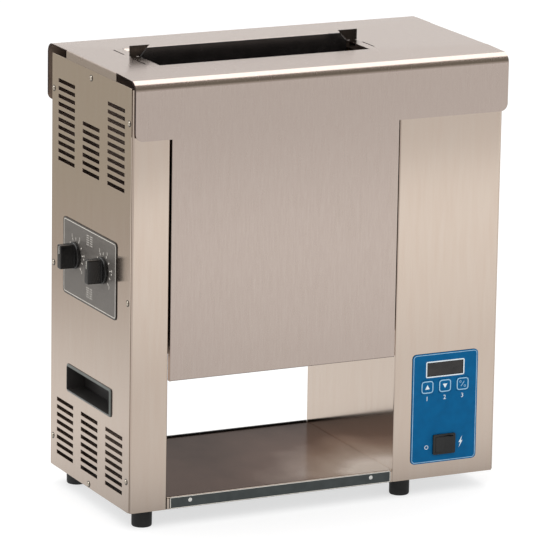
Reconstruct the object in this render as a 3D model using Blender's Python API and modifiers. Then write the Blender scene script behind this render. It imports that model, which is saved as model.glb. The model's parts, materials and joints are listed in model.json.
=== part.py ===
"""Vertical contact toaster with two bun lanes, one on each side of an upright heated platen.

Buns are dropped into the slot in the top cover. Two belts, each on a frame that tilts with the knob
on the left side, carry them down past the platen, and they fall out on the landing deck below.

Frame: origin on the floor under the middle of the whole outline, X to the right seen from the
front, Y to the back, Z up. All lengths are in metres.
"""

import math

import bmesh
import bpy
import numpy as np
from mathutils import Matrix, Vector

# Air between neighbours, how far a cutter runs past what it cuts, and points that are one
CLEARANCE = 0.0003
OVERRUN = 0.004
WELD = 0.000001

# Casing
SHEET = 0.0012
CASE_WIDTH = 0.560
CASE_DEPTH = 0.274
CASE_HEIGHT = 0.591
LEFT_TOWER = 0.055
RIGHT_TOWER = 0.158
TOWER_STEP = 0.002
TOWER_FLANGE = 0.014
SHEET_BEND = 0.0018
PANEL_REVEAL = 0.0025
PANEL_CORNER = 0.002

# Feet
FOOT_HEIGHT = 0.026
FOOT_RADIUS = 0.0143
FOOT_EDGE = 0.0012
FOOT_RECESS_RADIUS = 0.005
FOOT_RECESS_DEPTH = 0.004
FOOT_FROM_LEFT = 0.029
FOOT_FROM_RIGHT = 0.134
FOOT_FROM_FRONT = 0.025

# Base pan and landing deck
PAN_SHEET = 0.0015
DECK_HEIGHT = 0.0175
TAG_HEIGHT = 0.0168
TAG_THICKNESS = 0.0008
TAG_MARGIN_LEFT = 0.0045
TAG_MARGIN_RIGHT = 0.0035

# Top cover
COVER_DEPTH = 0.300
COVER_RISE = 0.013
COVER_OVERHANG = 0.002
COVER_BEND = 0.013
SKIRT_DROP = 0.086
SKIRT_CORNER = 0.011
END_FLANGE_LENGTH = 0.170
SLOT_WIDTH = 0.108
SLOT_MARGIN_LEFT = 0.017
SLOT_MARGIN_RIGHT = 0.012
LIP_RADIUS = 0.009
LIP_DROP = 0.020
RELIEF = 0.0015
SLIT_WIDTH = 0.0015
SLIT_OFFSET = 0.0145
SLIT_NEAR = 0.018
SLIT_LENGTH = 0.036

# Divider between the lanes, with its two ears
LANE_MID_Y = 0.006
EAR_RISE = 0.015
EAR_TOP_WIDTH = 0.0295
EAR_BASE_WIDTH = 0.016
EAR_TAB_WIDTH = 0.008
EAR_TAB_DROP = 0.009
DIVIDER_RISE = 0.011
DIVIDER_THICKNESS = 0.003

# Aprons that the cover's skirts carry down in front of the lanes and behind them
APRON_BOTTOM = 0.1845
APRON_START_GAP = 0.0020
APRON_END_GAP = 0.0079
APRON_REACH = 0.006
APRON_FOOT_FLANGE = 0.009

# Vents in the side panels
VENT_SIDE_MARGIN = 0.02145
VENT_COLUMN_GAP = 0.0268
VENT_COLUMNS = 3
VENT_HEIGHT = 0.0057
VENT_PITCH = 0.011
VENT_TOP_MARGIN = 0.032
VENT_UPPER_ROWS = 11
VENT_UPPER_MIDDLE_ROWS = 7
VENT_LOWER_TOP = 0.103
VENT_LOWER_ROWS = 8

# Recessed handles
HANDLE_LENGTH = 0.156
HANDLE_HEIGHT = 0.041
HANDLE_Z = 0.1395
HANDLE_RIM = 0.0032
HANDLE_WALL = 0.0025
HANDLE_DEPTH = 0.027
HANDLE_PROUD = 0.0012
HANDLE_CORNER = 0.003

# Dial plate and knobs
DIAL_LENGTH = 0.181
DIAL_HEIGHT = 0.108
DIAL_Z = 0.315
DIAL_THICKNESS = 0.0008
DIAL_CORNER = 0.006
KNOB_SPACING = 0.094
KNOB_Z = 0.322
KNOB_SKIRT_RADIUS = 0.0185
KNOB_SKIRT_HEIGHT = 0.005
KNOB_GRIP_WIDTH = 0.013
KNOB_HEIGHT = 0.025
KNOB_EDGE = 0.001

# Adjusting shafts, scroll discs and tilt arms
ADJUST_SHAFT_RADIUS = 0.004
SCROLL_RADIUS = 0.025
SCROLL_THICKNESS = 0.005
SCROLL_PATH_RADIUS = 0.015
SCROLL_RISE_PER_RADIAN = 0.00129
SCROLL_OFFSET = 0.0145
KNOB_TURN = math.radians(135.0)
SCROLL_MARGIN = math.radians(4.0)
TILT_PIN_RADIUS = 0.003
TILT_PIN_REACH = 0.0075
ARM_THICKNESS = 0.004
ARM_OFFSET = 0.0070
ARM_HUB_RADIUS = 0.0165
ARM_TIP_RADIUS = 0.007

# Conveyors
ROLLER_RADIUS = 0.029
JOURNAL_RADIUS = 0.006
BELT_THICKNESS = 0.0015
CLEAT_HEIGHT = 0.0012
CLEAT_WIDTH = 0.004
CLEAT_TOP_SHARE = 0.5
CLEAT_COUNT = 36
CROWN_GAP = 0.034
HEEL_GAP = 0.024
DRIVE_Z = 0.235
IDLER_HEADROOM = 0.076
FRAME_PLATE = 0.003
FRAME_HALF_WIDTH = 0.031
FRAME_END_GAP = 0.005
BELT_END_GAP = 0.0125
TILT_TUBE_RADIUS = 0.011
TILT_TUBE_BITE = 0.002
TILT_TUBE_REACH = 0.0075
BACKING_PLATE = 0.0025
BACKING_INSET = 0.040
TIE_RADIUS = 0.005
TIE_OFFSET = 0.018

# Chain drive
CHAIN_PITCH = 0.009525
DRIVE_TEETH = 16
MOTOR_TEETH = 12
SPROCKET_THICKNESS = 0.004
SPROCKET_OFFSET = 0.015
SPROCKET_HUB_RADIUS = 0.012
SPROCKET_HUB_LENGTH = 0.004
TOOTH_HEIGHT = 0.0024
LINK_THICKNESS = 0.0012
LINK_HALF_HEIGHT = 0.0036
CHAIN_ROLLER_RADIUS = 0.0022
MOTOR_Y = 0.060
MOTOR_Z = 0.340
MOTOR_SHAFT_RADIUS = 0.005
GUIDE_Z = 0.150
GUIDE_PATH_RADIUS = 0.015
GUIDE_BOSS_RADIUS = 0.006

# Gearmotor
GEARBOX_WIDTH = 0.084
GEARBOX_HEIGHT = 0.088
GEARBOX_DEPTH = 0.040
GEARBOX_STANDOFF = 0.030
GEARBOX_EDGE = 0.004
MOTOR_CAN_RADIUS = 0.030
MOTOR_CAN_LENGTH = 0.056
POST_RADIUS = 0.004
POST_INSET = 0.010

# Platen, heating elements, release sheet and brackets
PLATEN_THICKNESS = 0.022
PLATEN_BOTTOM = 0.195
PLATEN_HEADROOM = 0.056
PLATEN_EDGE = 0.003
PLATEN_END_GAP = 0.019
ELEMENT_RADIUS = 0.004
ELEMENT_PIN_RADIUS = 0.0015
ELEMENT_PIN_LENGTH = 0.010
ELEMENT_REACH = 0.028
ELEMENT_HEIGHT_SHARES = (0.25, 0.75)
RELEASE_SHEET = 0.0005
RELEASE_MARGIN = 0.010
BRACKET_SHEET = 0.0015
BRACKET_ARM = 0.026
BRACKET_INSET = 0.030

# Control panel on the right tower
PANEL_MID_X = 0.079
OVERLAY_WIDTH = 0.103
OVERLAY_HEIGHT = 0.159
OVERLAY_Z = 0.101
OVERLAY_THICKNESS = 0.0008
OVERLAY_CORNER = 0.006
DISPLAY_WIDTH = 0.0615
DISPLAY_HEIGHT = 0.0245
DISPLAY_Z = 0.157
DISPLAY_DEPTH = 0.003
KEY_WIDTH = 0.019
KEY_HEIGHT = 0.0195
KEY_PITCH = 0.0278
KEY_Z = 0.132
KEY_PROUD = 0.0006
KEY_TRAVEL = 0.0006
KEY_FLANGE = 0.0018
KEY_FLANGE_THICKNESS = 0.001
KEY_CORNER = 0.002
WINDOW_MARGIN = 0.004
BOARD_THICKNESS = 0.0016
BOARD_SETBACK = 0.012
BOARD_MARGIN = 0.010
BOARD_POST_RADIUS = 0.003

# Power switch
SWITCH_Z = 0.0475
BEZEL_WIDTH = 0.035
BEZEL_HEIGHT = 0.029
BEZEL_THICKNESS = 0.0025
SWITCH_DEPTH = 0.022
SWITCH_WALL = 0.0022
ROCKER_WIDTH = 0.027
ROCKER_HEIGHT = 0.0225
ROCKER_HEEL_RADIUS = 0.007
ROCKER_PROUD = 0.0032
ROCKER_DISH = 0.0016
ROCKER_THROW = math.radians(12.0)

# Cooling fan on the back of the right tower
FAN_SIZE = 0.080
FAN_DEPTH = 0.025
FAN_DUCT_RADIUS = 0.0375
FAN_HUB_RADIUS = 0.017
FAN_DROP = 0.121
FAN_BLADES = 7
FAN_BLADE_CHORD = 0.024
FAN_BLADE_THICKNESS = 0.0014
FAN_BLADE_PITCH = math.radians(38.0)
FAN_STRUT_WIDTH = 0.005
FAN_STRUT_DEPTH = 0.004
FAN_CORNER = 0.005
FAN_TIP_GAP = 0.0015

# Mains gland on the back, and the terminal block inside
GLAND_Z = 0.045
GLAND_BODY_RADIUS = 0.0105
GLAND_NUT_RADIUS = 0.0095
GLAND_BORE_RADIUS = 0.0048
GLAND_THREAD_RADIUS = 0.008
GLAND_LENGTH = 0.0115
GLAND_FLANGE = 0.004
GLAND_INSIDE = 0.012
TERMINAL_LENGTH = 0.060
TERMINAL_DEPTH = 0.026
TERMINAL_HEIGHT = 0.020
TERMINAL_WAYS = 5
TERMINAL_SLOT_DEPTH = 0.008
TERMINAL_WALL = 0.0025

# Facets
ROUND_STEPS = 20
BEND_STEPS = 3
WIDE_BEND_STEPS = 6
SCROLL_STEPS = 27
TOOTH_POINTS = 4
ARC_POINTS = 9
BELT_ARC_POINTS = 13
BORE_STEPS = 12
DUCT_STEPS = 28
PIN_STEPS = 6
HEEL_POINTS = 7
HEXAGON = 6

# Places worked out from the sizes above
LEFT_PROUD = CLEARANCE + SHEET + CLEARANCE + DIAL_THICKNESS + CLEARANCE + KNOB_HEIGHT
RIGHT_PROUD = max(COVER_OVERHANG, CLEARANCE + SHEET + CLEARANCE + HANDLE_PROUD)
MID_X = (LEFT_PROUD - RIGHT_PROUD) / 2
LEFT = MID_X - CASE_WIDTH / 2
RIGHT = MID_X + CASE_WIDTH / 2
FRONT = -CASE_DEPTH / 2
BACK = CASE_DEPTH / 2
BASE = FOOT_HEIGHT
LANE_LEFT = LEFT + LEFT_TOWER
LANE_RIGHT = RIGHT - RIGHT_TOWER
LANE_MID_X = (LANE_LEFT + LANE_RIGHT) / 2
FOOT_LEFT_X = LEFT + FOOT_FROM_LEFT
FOOT_RIGHT_X = RIGHT - FOOT_FROM_RIGHT
FOOT_Y = BACK - FOOT_FROM_FRONT
CASE_TOP = BASE + CASE_HEIGHT
COVER_TOP = CASE_TOP + COVER_RISE
SKIRT_BOTTOM = COVER_TOP - SKIRT_DROP
SLOT_LEFT = LANE_LEFT + SLOT_MARGIN_LEFT
SLOT_RIGHT = LANE_RIGHT - SLOT_MARGIN_RIGHT
LEFT_FACE = LEFT - CLEARANCE - SHEET
RIGHT_FACE = RIGHT + CLEARANCE + SHEET
DIAL_FACE = LEFT_FACE - CLEARANCE - DIAL_THICKNESS
VENT_SPAN = CASE_DEPTH - 2 * PANEL_REVEAL - 2 * VENT_SIDE_MARGIN
VENT_LENGTH = (VENT_SPAN - (VENT_COLUMNS - 1) * VENT_COLUMN_GAP) / VENT_COLUMNS
VENT_COLUMN_PITCH = VENT_LENGTH + VENT_COLUMN_GAP
VENT_UPPER_TOP = CASE_HEIGHT - VENT_TOP_MARGIN
FAN_Z = CASE_HEIGHT - FAN_DROP
ROLLER_SPACING = CASE_HEIGHT - DRIVE_Z - IDLER_HEADROOM
PLATEN_HEIGHT = CASE_HEIGHT - PLATEN_BOTTOM - PLATEN_HEADROOM
BRACKET_HEIGHT = PLATEN_HEIGHT - 2 * BRACKET_INSET
PLATEN_Z = BASE + PLATEN_BOTTOM
PLATEN_TOP = PLATEN_Z + PLATEN_HEIGHT
BELT_BORE = (ROLLER_RADIUS + CLEARANCE) / math.cos(math.pi / 2 / (BELT_ARC_POINTS - 1))
BELT_RADIUS = BELT_BORE + BELT_THICKNESS
REACH_RADIUS = BELT_RADIUS + CLEAT_HEIGHT
PLATEN_SKIN = PLATEN_THICKNESS / 2 + CLEARANCE + RELEASE_SHEET
FRONT_ROLLER_Y = LANE_MID_Y - PLATEN_SKIN - CROWN_GAP - REACH_RADIUS
REAR_ROLLER_Y = LANE_MID_Y + PLATEN_SKIN + HEEL_GAP + REACH_RADIUS
DRIVE_AXIS_Z = BASE + DRIVE_Z
IDLER_AXIS_Z = DRIVE_AXIS_Z + ROLLER_SPACING
KNOB_AXIS_Z = BASE + KNOB_Z
SPROCKET_X = LANE_RIGHT + SPROCKET_OFFSET
PANEL_X = LANE_RIGHT + PANEL_MID_X
TOWER_BACK_X = (LANE_RIGHT + RIGHT) / 2


def hex_colour(code):
    """sRGB hex to the linear values that a shader takes."""
    channels = [int(code[i:i + 2], 16) / 255 for i in (0, 2, 4)]
    linear = [c / 12.92 if c <= 0.04045 else ((c + 0.055) / 1.055) ** 2.4 for c in channels]
    return (*linear, 1.0)


FINISHES = {
    "brushed_steel": ("C3B7A8", 0.35, 1.0),
    "cover_steel": ("B4A89C", 0.25, 1.0),
    "deck_steel": ("5A4236", 0.25, 0.8),
    "zinc_steel": ("9A9C9E", 0.45, 1.0),
    "cast_aluminium": ("A8AAAC", 0.50, 1.0),
    "black_plastic": ("18181A", 0.40, 0.0),
    "black_rubber": ("1C1C1C", 0.80, 0.0),
    "silicone_belt": ("1E1C1C", 0.45, 0.0),
    "black_coated_steel": ("1A1919", 0.35, 0.2),
    "release_fabric": ("5B3A22", 0.45, 0.0),
    "grey_label": ("6E6E6C", 0.40, 0.3),
    "dark_label": ("464C4C", 0.35, 0.0),
    "blue_overlay": ("005F96", 0.30, 0.0),
    "dark_window": ("1A1416", 0.10, 0.0),
    "green_board": ("1F5A34", 0.50, 0.0),
    "white_nylon": ("E4E2DA", 0.50, 0.0),
    "painted_motor": ("3C4046", 0.50, 0.2),
}


def start_scene():
    """Empty the scene and make the two collections."""
    for thing in list(bpy.data.objects):
        bpy.data.objects.remove(thing, do_unlink=True)
    folders = []
    for name in ("vertical_contact_toaster", "cutters"):
        folder = bpy.data.collections.new(name)
        bpy.context.scene.collection.children.link(folder)
        folders.append(folder)
    return folders


PARTS, CUTTERS = start_scene()


def finish(name):
    """The material called name, made once."""
    if name in bpy.data.materials:
        return bpy.data.materials[name]
    code, roughness, metallic = FINISHES[name]
    made = bpy.data.materials.new(name)
    made.use_nodes = True
    shader = made.node_tree.nodes["Principled BSDF"]
    shader.inputs["Base Color"].default_value = hex_colour(code)
    shader.inputs["Roughness"].default_value = roughness
    shader.inputs["Metallic"].default_value = metallic
    return made


# Columns of the matrix that lays a drawing's x, y and depth along the world's axes
LAY = {
    "X": Matrix(((0, 0, 1, 0), (1, 0, 0, 0), (0, 1, 0, 0), (0, 0, 0, 1))),
    "Y": Matrix(((1, 0, 0, 0), (0, 0, -1, 0), (0, 1, 0, 0), (0, 0, 0, 1))),
    "Z": Matrix.Identity(4),
}
ALONG = {"X": Vector((1, 0, 0)), "Y": Vector((0, 1, 0)), "Z": Vector((0, 0, 1))}


def new_object(mesh, name="blank"):
    made = bpy.data.objects.new(name, mesh)
    CUTTERS.objects.link(made)
    made.hide_render = True
    made.display_type = "WIRE"
    return made


def drawn(loops, thickness, axis, at):
    """A flat outline, with any holes, raised to a thickness whose middle is at `at` on the axis."""
    curve = bpy.data.curves.new("outline", "CURVE")
    curve.dimensions = "2D"
    curve.fill_mode = "BOTH"
    curve.extrude = thickness / 2
    for loop in loops:
        spline = curve.splines.new("POLY")
        spline.points.add(len(loop) - 1)
        flat = np.ones((len(loop), 4))
        flat[:, :2] = np.asarray(loop)
        flat[:, 2] = 0
        spline.points.foreach_set("co", flat.ravel())
        spline.use_cyclic_u = True
    outline = bpy.data.objects.new("outline", curve)
    CUTTERS.objects.link(outline)
    outline.matrix_world = Matrix.Translation(ALONG[axis] * at) @ LAY[axis]
    bpy.context.view_layer.update()
    seen = outline.evaluated_get(bpy.context.evaluated_depsgraph_get())
    mesh = bpy.data.meshes.new_from_object(seen)
    made = new_object(mesh)
    made.matrix_world = outline.matrix_world.copy()
    bpy.data.objects.remove(outline, do_unlink=True)
    tidy = bmesh.new()
    tidy.from_mesh(mesh)
    bmesh.ops.remove_doubles(tidy, verts=tidy.verts, dist=WELD)
    tidy.to_mesh(mesh)
    tidy.free()
    return made


def block(low, high):
    """A box between two corners."""
    low, high = Vector(low), Vector(high)
    shape = bmesh.new()
    size = Matrix.Diagonal((*(high - low), 1))
    bmesh.ops.create_cube(shape, size=1, matrix=Matrix.Translation((low + high) / 2) @ size)
    mesh = bpy.data.meshes.new("block")
    shape.to_mesh(mesh)
    shape.free()
    return new_object(mesh)


def blocks(boxes):
    """Separate boxes in one mesh, for cutting a row of slots."""
    shape = bmesh.new()
    for low, high in boxes:
        low, high = Vector(low), Vector(high)
        size = Matrix.Diagonal((*(high - low), 1))
        bmesh.ops.create_cube(shape, size=1, matrix=Matrix.Translation((low + high) / 2) @ size)
    mesh = bpy.data.meshes.new("blocks")
    shape.to_mesh(mesh)
    shape.free()
    return new_object(mesh)


def bars(centres, radius, axis, span, steps=ROUND_STEPS):
    """Separate round bars along an axis in one mesh; a centre is its place across the axis."""
    low, high = min(span), max(span)
    shape = bmesh.new()
    for across in centres:
        place = LAY[axis] @ Vector((across[0], across[1], 0)) + ALONG[axis] * (low + high) / 2
        turn = Matrix.Translation(place) @ LAY[axis]
        bmesh.ops.create_cone(shape, cap_ends=True, segments=steps, radius1=radius, radius2=radius,
                              depth=high - low, matrix=turn)
    mesh = bpy.data.meshes.new("bars")
    shape.to_mesh(mesh)
    shape.free()
    return new_object(mesh)


def bar(centre, radius, axis, span, steps=ROUND_STEPS):
    return bars([centre], radius, axis, span, steps)


def turned(profile, axis, at, steps=ROUND_STEPS):
    """A profile of (radius, height), outer side first from top to bottom, turned about an axis."""
    shape = bmesh.new()
    corners = [shape.verts.new((radius, 0, height)) for radius, height in profile]
    for first, second in zip(corners, corners[1:]):
        shape.edges.new((first, second))
    mesh = bpy.data.meshes.new("turned")
    shape.to_mesh(mesh)
    shape.free()
    made = new_object(mesh)
    screw = made.modifiers.new("Screw", "SCREW")
    screw.steps = steps
    screw.render_steps = steps
    screw.use_merge_vertices = True
    screw.merge_threshold = WELD
    made.matrix_world = Matrix.Translation(Vector(at)) @ LAY[axis]
    return made


def sheet(path, thickness, axis, span):
    """Sheet metal folded along a path across the axis; the path is the middle of its thickness."""
    low, high = min(span), max(span)
    shape = bmesh.new()
    rows = []
    for depth in (low, high):
        rows.append([shape.verts.new(LAY[axis] @ Vector((a, b, 0)) + ALONG[axis] * depth)
                     for a, b in path])
    for i in range(len(path) - 1):
        shape.faces.new((rows[0][i], rows[0][i + 1], rows[1][i + 1], rows[1][i]))
    mesh = bpy.data.meshes.new("sheet")
    shape.to_mesh(mesh)
    shape.free()
    made = new_object(mesh)
    wall = made.modifiers.new("Solidify", "SOLIDIFY")
    wall.thickness = thickness
    wall.offset = 0
    wall.use_even_offset = True
    return made


def bent(corners, radius, steps=BEND_STEPS):
    """Round the inner corners of an open path with arcs of one radius."""
    points = [np.array(corners[0], float)]
    for before, corner, after in zip(corners, corners[1:], corners[2:]):
        corner = np.array(corner, float)
        into = np.array(before, float) - corner
        out = np.array(after, float) - corner
        into /= np.linalg.norm(into)
        out /= np.linalg.norm(out)
        half = math.acos(max(-1.0, min(1.0, float(into @ out)))) / 2
        centre = corner + (into + out) / np.linalg.norm(into + out) * radius / math.sin(half)
        start = corner + into * radius / math.tan(half) - centre
        end = corner + out * radius / math.tan(half) - centre
        a0 = math.atan2(start[1], start[0])
        sweep = (math.atan2(end[1], end[0]) - a0 + math.pi) % (2 * math.pi) - math.pi
        for share in np.linspace(0, 1, steps + 1):
            angle = a0 + sweep * share
            points.append(centre + radius * np.array((math.cos(angle), math.sin(angle))))
    points.append(np.array(corners[-1], float))
    return points


def circle(centre, radius, steps=ROUND_STEPS):
    turn = np.arange(steps) * 2 * math.pi / steps
    return np.column_stack((centre[0] + radius * np.cos(turn), centre[1] + radius * np.sin(turn)))


def rounded_box(centre, width, height, radius, steps=3):
    """The outline of a box with round corners, centred."""
    points = []
    for quarter, (side, up) in enumerate(((1, 1), (-1, 1), (-1, -1), (1, -1))):
        middle = (centre[0] + side * (width / 2 - radius), centre[1] + up * (height / 2 - radius))
        for share in np.linspace(0, 1, steps + 1):
            angle = (quarter + share) * math.pi / 2
            points.append((middle[0] + radius * math.cos(angle), middle[1] + radius * math.sin(angle)))
    return points


def strap(first, first_radius, second, second_radius, steps=ARC_POINTS):
    """The outline of a flat link: two arcs joined by the tangents that touch both."""
    first, second = np.array(first, float), np.array(second, float)
    reach = second - first
    heading = math.atan2(reach[1], reach[0])
    lean = math.acos((first_radius - second_radius) / np.linalg.norm(reach))
    points = []
    for angle in np.linspace(heading - lean, heading + lean, steps):
        points.append(second + second_radius * np.array((math.cos(angle), math.sin(angle))))
    for angle in np.linspace(heading + lean, heading - lean + 2 * math.pi, steps):
        points.append(first + first_radius * np.array((math.cos(angle), math.sin(angle))))
    return points


def combine(base, other, operation):
    change = base.modifiers.new(operation.title(), "BOOLEAN")
    change.operation = operation
    change.object = other
    change.solver = "EXACT"
    return base


def cut(base, *cutters):
    for cutter in cutters:
        combine(base, cutter, "DIFFERENCE")
    return base


def join(base, *others):
    for other in others:
        combine(base, other, "UNION")
    return base


def soften(made, width, segments=2, angle=math.radians(40.0)):
    edge = made.modifiers.new("Bevel", "BEVEL")
    edge.width = width
    edge.segments = segments
    edge.limit_method = "ANGLE"
    edge.angle_limit = angle
    return made


def publish(made, name, look, carrier=None):
    """Make a shape one of the toaster's pieces, carried by the empty on its joint's axis."""
    made.name = name
    made.data.name = name
    CUTTERS.objects.unlink(made)
    PARTS.objects.link(made)
    made.hide_render = False
    made.display_type = "TEXTURED"
    made.data.materials.clear()
    made.data.materials.append(finish(look))
    if carrier is not None:
        made.parent = carrier
        made.matrix_parent_inverse = carrier.matrix_world.inverted()
    return made


def axis_at(name, place, parent=None):
    """An empty on a joint's axis."""
    empty = bpy.data.objects.new(name, None)
    empty.empty_display_size = SPROCKET_HUB_RADIUS
    PARTS.objects.link(empty)
    empty.location = place
    bpy.context.view_layer.update()
    if parent is not None:
        empty.parent = parent
        empty.matrix_parent_inverse = parent.matrix_world.inverted()
    return empty


def make_base():
    """Base pan, the four rubber feet, the landing deck and the plate on its front lip."""
    inset = SHEET + CLEARANCE
    pan = block((LEFT + inset, FRONT + inset, BASE), (RIGHT - inset, BACK - inset, BASE + PAN_SHEET))
    publish(pan, "base_pan", "zinc_steel")
    foot = [(0, FOOT_HEIGHT - CLEARANCE), (FOOT_RADIUS, FOOT_HEIGHT - CLEARANCE),
            (FOOT_RADIUS, FOOT_EDGE), (FOOT_RADIUS - FOOT_EDGE, 0), (FOOT_RECESS_RADIUS, 0),
            (FOOT_RECESS_RADIUS, FOOT_RECESS_DEPTH), (0, FOOT_RECESS_DEPTH)]
    for x, side in ((FOOT_LEFT_X, "left"), (FOOT_RIGHT_X, "right")):
        for y, end in ((-FOOT_Y, "front"), (FOOT_Y, "rear")):
            publish(turned(foot, "Z", (x, y, 0)), f"foot_{end}_{side}", "black_rubber")
    middle = SHEET / 2
    low, high = BASE, BASE + DECK_HEIGHT - middle
    front, back = FRONT + middle, BACK - middle
    path = bent([(front, low), (front, high), (back, high), (back, low)], SHEET_BEND)
    deck = sheet(path, SHEET, "X", (LANE_LEFT + CLEARANCE, LANE_RIGHT - CLEARANCE))
    publish(deck, "landing_deck", "deck_steel")
    width = LANE_RIGHT - LANE_LEFT - TAG_MARGIN_LEFT - TAG_MARGIN_RIGHT
    centre = (LANE_LEFT + TAG_MARGIN_LEFT + width / 2, BASE + DECK_HEIGHT / 2)
    tag = drawn([rounded_box(centre, width, TAG_HEIGHT, PANEL_CORNER)], TAG_THICKNESS, "Y",
                FRONT - CLEARANCE - TAG_THICKNESS / 2)
    publish(tag, "deck_tag_plate", "dark_label")


def tower_path(outer, inner, outward):
    """Plan of a tower: flange, front wall, inner wall, back wall, flange."""
    edge = outer - outward * SHEET / 2
    wall = inner + outward * SHEET / 2
    front, back = FRONT + SHEET / 2, BACK - SHEET / 2
    return bent([(edge, FRONT + TOWER_FLANGE), (edge, front), (wall, front), (wall, back),
                 (edge, back), (edge, BACK - TOWER_FLANGE)], SHEET_BEND)


def make_towers():
    """The two upright channels that carry everything, open to the sides."""
    span = (BASE, CASE_TOP - TOWER_STEP)
    inset = SHEET
    pan_room = ((LEFT + inset, FRONT + inset, BASE - OVERRUN),
                (RIGHT - inset, BACK - inset, BASE + PAN_SHEET + CLEARANCE))
    tubes = [(FRONT_ROLLER_Y, DRIVE_AXIS_Z), (REAR_ROLLER_Y, DRIVE_AXIS_Z)]
    left = sheet(tower_path(LEFT, LANE_LEFT, -1), SHEET, "Z", span)
    wall = (LANE_LEFT - SHEET - OVERRUN, LANE_LEFT + OVERRUN)
    knobs = [(-KNOB_SPACING / 2, KNOB_AXIS_Z), (KNOB_SPACING / 2, KNOB_AXIS_Z)]
    cut(left, block(*pan_room), bars(tubes, TILT_TUBE_RADIUS + CLEARANCE, "X", wall),
        bars(knobs, ADJUST_SHAFT_RADIUS + CLEARANCE, "X", wall, BORE_STEPS))
    publish(left, "left_tower_shell", "brushed_steel")

    right = sheet(tower_path(RIGHT, LANE_RIGHT, 1), SHEET, "Z", span)
    wall = (LANE_RIGHT - OVERRUN, LANE_RIGHT + SHEET + OVERRUN)
    elements = [(LANE_MID_Y, PLATEN_Z + PLATEN_HEIGHT * share) for share in ELEMENT_HEIGHT_SHARES]
    front = (FRONT - OVERRUN, FRONT + SHEET + OVERRUN)
    window_top = BASE + DISPLAY_Z + DISPLAY_HEIGHT / 2 + CLEARANCE
    window_bottom = BASE + KEY_Z - KEY_HEIGHT / 2 - KEY_FLANGE - WINDOW_MARGIN / 2
    window_half = KEY_PITCH + KEY_WIDTH / 2 + KEY_FLANGE + WINDOW_MARGIN / 2
    window = block((PANEL_X - window_half, front[0], window_bottom),
                   (PANEL_X + window_half, front[1], window_top))
    hole_half = BEZEL_WIDTH / 2 - SWITCH_WALL + CLEARANCE
    hole_rise = BEZEL_HEIGHT / 2 - SWITCH_WALL + CLEARANCE
    switch = block((PANEL_X - hole_half, front[0], BASE + SWITCH_Z - hole_rise),
                   (PANEL_X + hole_half, front[1], BASE + SWITCH_Z + hole_rise))
    back = (BACK - SHEET - OVERRUN, BACK + OVERRUN)
    grille = []
    rows = int((2 * FAN_DUCT_RADIUS - VENT_HEIGHT) / VENT_PITCH) + 1
    for row in range(rows):
        rise = (row - (rows - 1) / 2) * VENT_PITCH
        half = math.sqrt(FAN_DUCT_RADIUS ** 2 - (abs(rise) + VENT_HEIGHT / 2) ** 2)
        z = BASE + FAN_Z + rise
        grille.append(((TOWER_BACK_X - half, back[0], z - VENT_HEIGHT / 2),
                       (TOWER_BACK_X + half, back[1], z + VENT_HEIGHT / 2)))
    cut(right, block(*pan_room), bars(tubes, TILT_TUBE_RADIUS + CLEARANCE, "X", wall),
        bars(elements, ELEMENT_RADIUS + CLEARANCE, "X", wall, BORE_STEPS), window, switch,
        blocks(grille), bar((TOWER_BACK_X, BASE + GLAND_Z), GLAND_THREAD_RADIUS + CLEARANCE, "Y", back))
    publish(right, "right_tower_shell", "brushed_steel")


def vent_slots():
    """Outlines of the slots in a side panel, as the photographed left side has them."""
    slots = []
    for column in (-1, 0, 1):
        y = column * VENT_COLUMN_PITCH
        rows = VENT_UPPER_ROWS if column else VENT_UPPER_MIDDLE_ROWS
        lowest = VENT_UPPER_TOP - VENT_PITCH * (VENT_UPPER_ROWS - 1)
        heights = [lowest + VENT_PITCH * row for row in range(rows)]
        heights += [VENT_LOWER_TOP - VENT_PITCH * row for row in range(VENT_LOWER_ROWS)]
        for top in heights:
            near, far = y - VENT_LENGTH / 2, y + VENT_LENGTH / 2
            high, low = BASE + top, BASE + top - VENT_HEIGHT
            slots.append([(near, low), (far, low), (far, high), (near, high)])
    return slots


def make_side_panels():
    """Flat vented panels, each with a hole for the recessed handle."""
    depth = CASE_DEPTH - 2 * PANEL_REVEAL
    outline = rounded_box((0, BASE + CASE_HEIGHT / 2), depth, CASE_HEIGHT, PANEL_CORNER)
    handle = rounded_box((0, BASE + HANDLE_Z), HANDLE_LENGTH - 2 * HANDLE_RIM + 2 * CLEARANCE,
                         HANDLE_HEIGHT - 2 * HANDLE_RIM + 2 * CLEARANCE, HANDLE_CORNER)
    loops = [outline, handle] + vent_slots()
    knobs = [circle((side * KNOB_SPACING / 2, KNOB_AXIS_Z), ADJUST_SHAFT_RADIUS + CLEARANCE, BORE_STEPS)
             for side in (-1, 1)]
    left = drawn(loops + knobs, SHEET, "X", LEFT_FACE + SHEET / 2)
    publish(left, "left_side_panel", "brushed_steel")
    publish(drawn(loops, SHEET, "X", RIGHT_FACE - SHEET / 2), "right_side_panel", "brushed_steel")
    plate = [rounded_box((0, BASE + DIAL_Z), DIAL_LENGTH, DIAL_HEIGHT, DIAL_CORNER)] + knobs
    dial = drawn(plate, DIAL_THICKNESS, "X", DIAL_FACE + DIAL_THICKNESS / 2)
    publish(dial, "dial_plate", "grey_label")


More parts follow.
